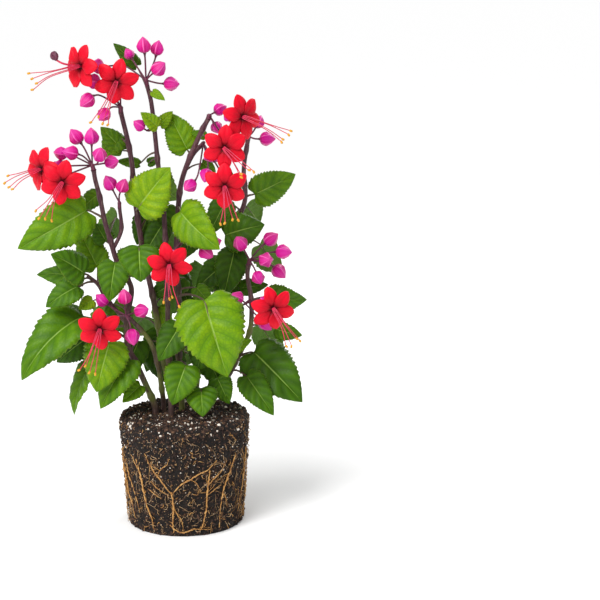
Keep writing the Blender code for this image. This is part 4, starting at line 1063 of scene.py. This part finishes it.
def calyx_mesh(place, facing, size, open_mouth):
    """A puffed five-lobed lantern that comes to a point, or opens round a flower's tube."""
    turned = facing.to_track_quat("Z", "Y").to_matrix()
    length = CALYX_LENGTH * size
    bm = bmesh.new()
    bmesh.ops.create_uvsphere(bm, u_segments=CALYX_SEGMENTS, v_segments=CALYX_RINGS, radius=1.0)
    chart = bm.loops.layers.uv.new("calyx_map")
    where = {}
    for vert in bm.verts:
        angle = math.atan2(vert.co.y, vert.co.x) % math.tau
        share = math.acos(max(-1.0, min(1.0, -vert.co.z))) / math.pi
        where[vert] = (angle / math.tau, share)
        belly = math.sin(math.pi * share ** 0.82) ** 0.72
        flat = abs(math.sin(KEELS / 2.0 * angle))
        sunk = flat ** 0.8 * math.sin(math.pi * min(1.0, share * 1.05)) ** 0.7
        puff = 1.1 - KEEL_DEPTH * sunk
        radius = belly * puff * CALYX_RADIUS * size * (1.06 - 0.24 * share)
        radius += KEEL_TOOTH * (1.0 - flat) ** 3 * math.exp(-((share - 0.46) / 0.07) ** 2)
        if share > 0.8:
            radius *= 1.0 - 0.35 * ((share - 0.8) / 0.2) ** 0.7
        height = (share - 0.5) * length
        if open_mouth and share > 0.7:
            height = (0.7 - 0.5) * length + (share - 0.7) * length * 0.5
            radius = max(radius, 1.6) + 0.6 * flat
        spot = Vector((radius * math.cos(angle), radius * math.sin(angle), height))
        vert.co = (place + turned @ spot) * MM
    for face in bm.faces:
        angles = [where[loop.vert][0] for loop in face.loops]
        wraps = max(angles) - min(angles) > 0.5
        for loop in face.loops:
            turn, share = where[loop.vert]
            loop[chart].uv = (turn + 1.0 if wraps and turn < 0.5 else turn, share)
    mesh = mesh_from(bm, "calyx", "calyx")
    mesh.shade_smooth()
    return mesh


def spray_axis(key):
    """The stem or the shoot that a spray grows from."""
    if key.endswith("_shoot"):
        _stem, radius, axis = next(shoot for shoot in SHOOTS if shoot[0] == key[0])
        return radius, radius, axis
    return STEMS[key]


def make_spray(name, row):
    """Wine-red stalks that part at a hub, each with its calyx."""
    key, where, hub, buds, flowers = row
    stem = spray_axis(key)
    hub = Vector(hub)
    start = Vector(stem[2][-1]) if where == "tip" else seat(stem, hub)
    thick = stem[1] if where == "tip" else SIDE_HUB
    routes = [([start, start.lerp(hub, 0.6), hub, hub.lerp(start, -0.4)],
               [thick, thick * 0.95, thick * 1.05, thick * 0.5])]
    cups = [(Vector(place), Vector(way).normalized(), size, False, [])
            for place, way, size in buds]
    for flower in flowers:
        throat, facing = BLOOMS[flower][:2]
        forward = Vector(facing).normalized()
        top = CALYX_MOUTH * CALYX_LENGTH / 2.0
        centre = Vector(throat) - forward * (TUBE_LENGTH + GAP + top)
        passes = [Vector(ROUNDABOUT[flower])] if flower in ROUNDABOUT else []
        cups.append((centre, forward, 1.0, True, passes))
    meshes = []
    for place, way, size, open_mouth, passes in cups:
        foot = place - way * CALYX_LENGTH * size * 0.4
        bend = place - way * CALYX_LENGTH * size * 0.72
        bend = bend.lerp(passes[0] if passes else hub, 0.2)
        route = smooth_route([hub, *passes, bend, foot], 6)
        last = len(route) - 1
        radii = [PEDICEL * (1.0 + 1.6 * max(0.0, i / last - 0.8) / 0.2) for i in range(last + 1)]
        routes.append((route, radii))
        meshes.append(calyx_mesh(place, way, size, open_mouth))
    meshes.append(stalks(routes, 8, "pedicel"))
    piece_of(f"calyx_{name}", meshes, [name])


def ball_radius(height):
    """The radius of the tapered root ball at a height."""
    return BALL_FOOT_RADIUS + (BALL_TOP_RADIUS - BALL_FOOT_RADIUS) * height / BALL_HEIGHT


def crumb_height(place, amount):
    """How far the crumbs stand out at a place, in millimetres."""
    coarse = noise.noise(place / 9.0) + 0.6 * noise.noise(place / 4.0)
    fine = 0.45 * noise.noise(place / 1.9) + 0.3 * noise.noise(place / 1.0)
    return amount * (coarse + fine)


def soil_surface():
    """The outside of the root ball as a wrapped grid: top, side and flat underside."""
    profile = []
    for i in range(BALL_TOP_ROWS):
        profile.append((BALL_TOP_RADIUS * (i / BALL_TOP_ROWS) ** 0.8 * 0.965, BALL_HEIGHT))
    for i in range(BALL_SIDE_ROWS + 1):
        height = (BALL_HEIGHT - 2.0) * (1.0 - i / BALL_SIDE_ROWS)
        corner = min(1.0, (BALL_HEIGHT - height) / 7.0, (height + 2.5) / 5.0)
        profile.append((ball_radius(height) - BALL_ROUNDING * (1.0 - corner) ** 2, height))
    profile += [(25.0, 0.0), (0.0, 0.0)]
    rows = len(profile) - 1
    bm = bmesh.new()
    bmesh.ops.create_grid(bm, x_segments=BALL_ANGLES, y_segments=rows, size=1.0)
    for vert in bm.verts:
        angle = (vert.co.x + 1.0) / 2.0 * math.tau
        row = round((vert.co.y + 1.0) / 2.0 * rows)
        radius, height = profile[row]
        place = Vector((radius * math.cos(angle), radius * math.sin(angle), height))
        if row < BALL_TOP_ROWS:
            edge = radius / BALL_TOP_RADIUS
            place.z += crumb_height(place, TOP_LUMPS) * (0.5 + 0.5 * edge) - 0.8 * edge ** 4
        elif height > 0.0:
            out = Vector((math.cos(angle), math.sin(angle), 0.0))
            place += out * crumb_height(place, SIDE_LUMPS) * min(1.0, height / 4.0 + 0.4)
        vert.co = place * MM
    closed(bm)
    return mesh_from(bm, "soil", "soil")


def soil_skin(mesh, lowest, highest=BALL_HEIGHT * 2.0):
    """The faces of the soil between two heights, for grains to lie on."""
    bm = bmesh.new()
    bm.from_mesh(mesh)
    lost = [face for face in bm.faces
            if not lowest < face.calc_center_median().z / MM < highest]
    bmesh.ops.delete(bm, geom=lost, context="FACES")
    return mesh_from(bm, "skin")


def thinning(route, radius, loss=ROOT_TAPER):
    """A route with its radii, which lose a share of their size on the way."""
    return route, [radius * (1.0 - loss * i / len(route)) for i in range(len(route))]


def root_route(draw, angle, height, heading, length, wander, proud, step=ROOT_STEP):
    """A root that gropes over the side of the ball, from a place and a heading."""
    route = []
    for index in range(int(length / step)):
        radius = ball_radius(height)
        lift = proud + 0.7 * math.sin(index * 0.7 + angle * 9.0)
        if index in (0, 1):
            lift -= 1.5
        reach = radius + lift
        route.append(Vector((reach * math.cos(angle), reach * math.sin(angle), height)))
        heading += draw.uniform(-wander, wander)
        heading += 0.08 * math.sin(-math.pi / 2 - heading)
        angle += math.cos(heading) * step / radius
        height += math.sin(heading) * step
        if height < 1.2 or height > ROOT_TOP:
            break
    return route


def root_net(draw, count, first_radius, length, wander, low, high, proud):
    """Roots over the side of the ball, with shorter ones that branch off them."""
    routes = []
    for _index in range(count):
        angle = draw.uniform(0.0, math.tau)
        height = draw.uniform(low, high)
        heading = draw.choice((-math.pi / 2, -math.pi / 2, -0.7, -2.4)) + draw.uniform(-0.5, 0.5)
        route = root_route(draw, angle, height, heading, length * draw.uniform(0.5, 1.0),
                           wander, proud)
        if len(route) < 4:
            continue
        radius = first_radius * draw.uniform(0.6, 1.0)
        routes.append(thinning(route, radius))
        for _branch in range(2):
            joint = route[draw.randrange(1, len(route) - 1)]
            turn = math.atan2(joint.y, joint.x)
            side = root_route(draw, turn, joint.z, heading + draw.choice((-0.9, 0.9)),
                              length * 0.4, wander, proud - 0.1)
            if len(side) > 3:
                routes.append(thinning(side, radius * 0.6))
    return routes


def root_ends(draw, count):
    """Short curled ends of roots that show all over the side and just under the rim."""
    routes = []
    for _index in range(count):
        route = root_route(draw, draw.uniform(0.0, math.tau), draw.uniform(3.0, ROOT_TOP),
                           draw.uniform(0.0, math.tau), draw.uniform(3.5, 7.5), 0.9,
                           draw.uniform(0.6, 1.9), 1.1)
        radius = draw.uniform(0.2, 0.42)
        if len(route) > 2:
            routes.append(thinning(route, radius, 0.5))
    return routes


def main_root(draw, radius, steps):
    """A thick root that lies along the steps of a row, half sunk in the soil."""
    knots = []
    for degrees, height in steps:
        turn = math.radians(degrees - 90.0)
        reach = ball_radius(height) + 1.0 + draw.uniform(-0.3, 0.4)
        knots.append((reach * math.cos(turn), reach * math.sin(turn), height))
    route = smooth_route(knots, 7)
    route = [place + Vector([draw.uniform(-0.4, 0.4) for _axis in range(3)])
             for place in route]
    last = len(route) - 1
    return route, [radius * (0.5 + 0.55 * math.sin(math.pi * min(1.0, 0.1 + i / last)))
                   * draw.uniform(0.75, 1.3) for i in range(last + 1)]


def make_root_ball():
    """The soil with its perlite, the crumbs that lie on it, and the roots, as three pieces."""
    draw = random.Random(BALL_SEED)
    soil = soil_surface()
    skins = {"top": soil_skin(soil, 90.0), "upper": soil_skin(soil, 48.0),
             "side": soil_skin(soil, 0.6), "foot": soil_skin(soil, 0.3, 5.0)}
    pieces = {"soil": [soil], "crumbs": []}
    for layer, where, density, smallest, largest, seed, roundness, finish in GRAINS:
        strewn = grown(skins[where].copy(), "grains", Density=density, Smallest=smallest * MM,
                       Largest=largest * MM, Seed=seed, Roundness=roundness,
                       Skin=FINISHES[finish])
        for vert in strewn.vertices:
            vert.co.z = max(vert.co.z, 0.1 * MM)
        pieces[layer].append(strewn)
    thick = [main_root(draw, radius, steps) for radius, steps in MAIN_ROOTS]
    for turn in BACK_TURNS:
        for radius, steps in BACK_ROOTS:
            shifted = [(degrees + turn + draw.uniform(-3, 3), height) for degrees, height in steps]
            thick.append(main_root(draw, radius * draw.uniform(0.7, 1.0), shifted))
    nets = {name: root_net(draw, *row) for name, row in ROOT_NETS.items()}
    ends = root_ends(draw, ROOT_ENDS)
    pale = nets["fine"] + nets["wisps"] + ends[1::3] + ends[2::3]
    pieces["roots"] = [stalks(thick, 7, "root"), stalks(nets["tan"] + ends[::3], 4, "root"),
                       stalks(pale, 3, "feeder")]
    for layer, meshes in pieces.items():
        piece_of(f"root_ball_{layer}", meshes, ["root_ball"])


def make_stage():
    """A pale floor, even white light all round, a soft sun, and a key and a rim light."""
    bpy.ops.mesh.primitive_plane_add(size=FLOOR_SIZE)
    floor = bpy.context.object
    floor.name = "pale_floor"
    # Matt white paint: no gloss, so the light falls off softly on it
    paint, _tree = new_material("pale_paint", Roughness=0.9, Specular_IOR_Level=0.1,
                                Base_Color=colour("#FDFDFD"))
    floor.data.materials.append(paint)
    world = bpy.data.worlds.new("studio")
    bpy.context.scene.world = world
    world.use_nodes = True
    world.node_tree.nodes["Background"].inputs[0].default_value = (1.0, 1.0, 1.0, 1.0)
    world.node_tree.nodes["Background"].inputs[1].default_value = STUDIO_LIGHT
    for name, kind, place, power in LAMPS:
        light = bpy.data.lights.new(name, kind)
        light.energy = power
        if kind == "SUN":
            light.angle = SUN_WIDTH
        else:
            light.size = SOFTBOX
        lamp = placed(name, light)
        lamp.location = place
        aim = LAMP_TARGET - lamp.location
        lamp.rotation_euler = aim.to_track_quat("-Z", "Y").to_euler()
    bpy.context.scene.view_settings.view_transform = "Standard"


def make_camera():
    """The camera of the photo's viewpoint."""
    data = bpy.data.cameras.new("camera")
    data.lens = CAMERA_LENS
    data.sensor_width = SENSOR
    camera = placed("camera", data)
    away = Vector((0.0, -math.cos(CAMERA_ELEVATION), math.sin(CAMERA_ELEVATION)))
    camera.location = CAMERA_TARGET + away * CAMERA_DISTANCE
    camera.rotation_euler = (-away).to_track_quat("-Z", "Y").to_euler()
    bpy.context.scene.camera = camera


make_camera()
make_stage()
make_root_ball()
plant_draw = random.Random(PLANT_SEED)
for stem_key in STEMS:
    make_stem(stem_key, plant_draw)
for leaf_name, leaf_row in LEAVES.items():
    piece_of(f"green_{leaf_name}", leaf_meshes(leaf_row, LEAF_ROWS, LEAF_COLUMNS, plant_draw),
             [leaf_name])
for number, inner_row in enumerate(INNER_LEAVES, 1):
    piece_of(f"inner_leaf_{number:02d}",
             leaf_meshes(inner_row, SMALL_ROWS, SMALL_COLUMNS, plant_draw))
for bloom_name, bloom_row in BLOOMS.items():
    make_bloom(bloom_name, bloom_row, plant_draw)
for spray_name, spray_row in SPRAYS.items():
    make_spray(spray_name, spray_row)
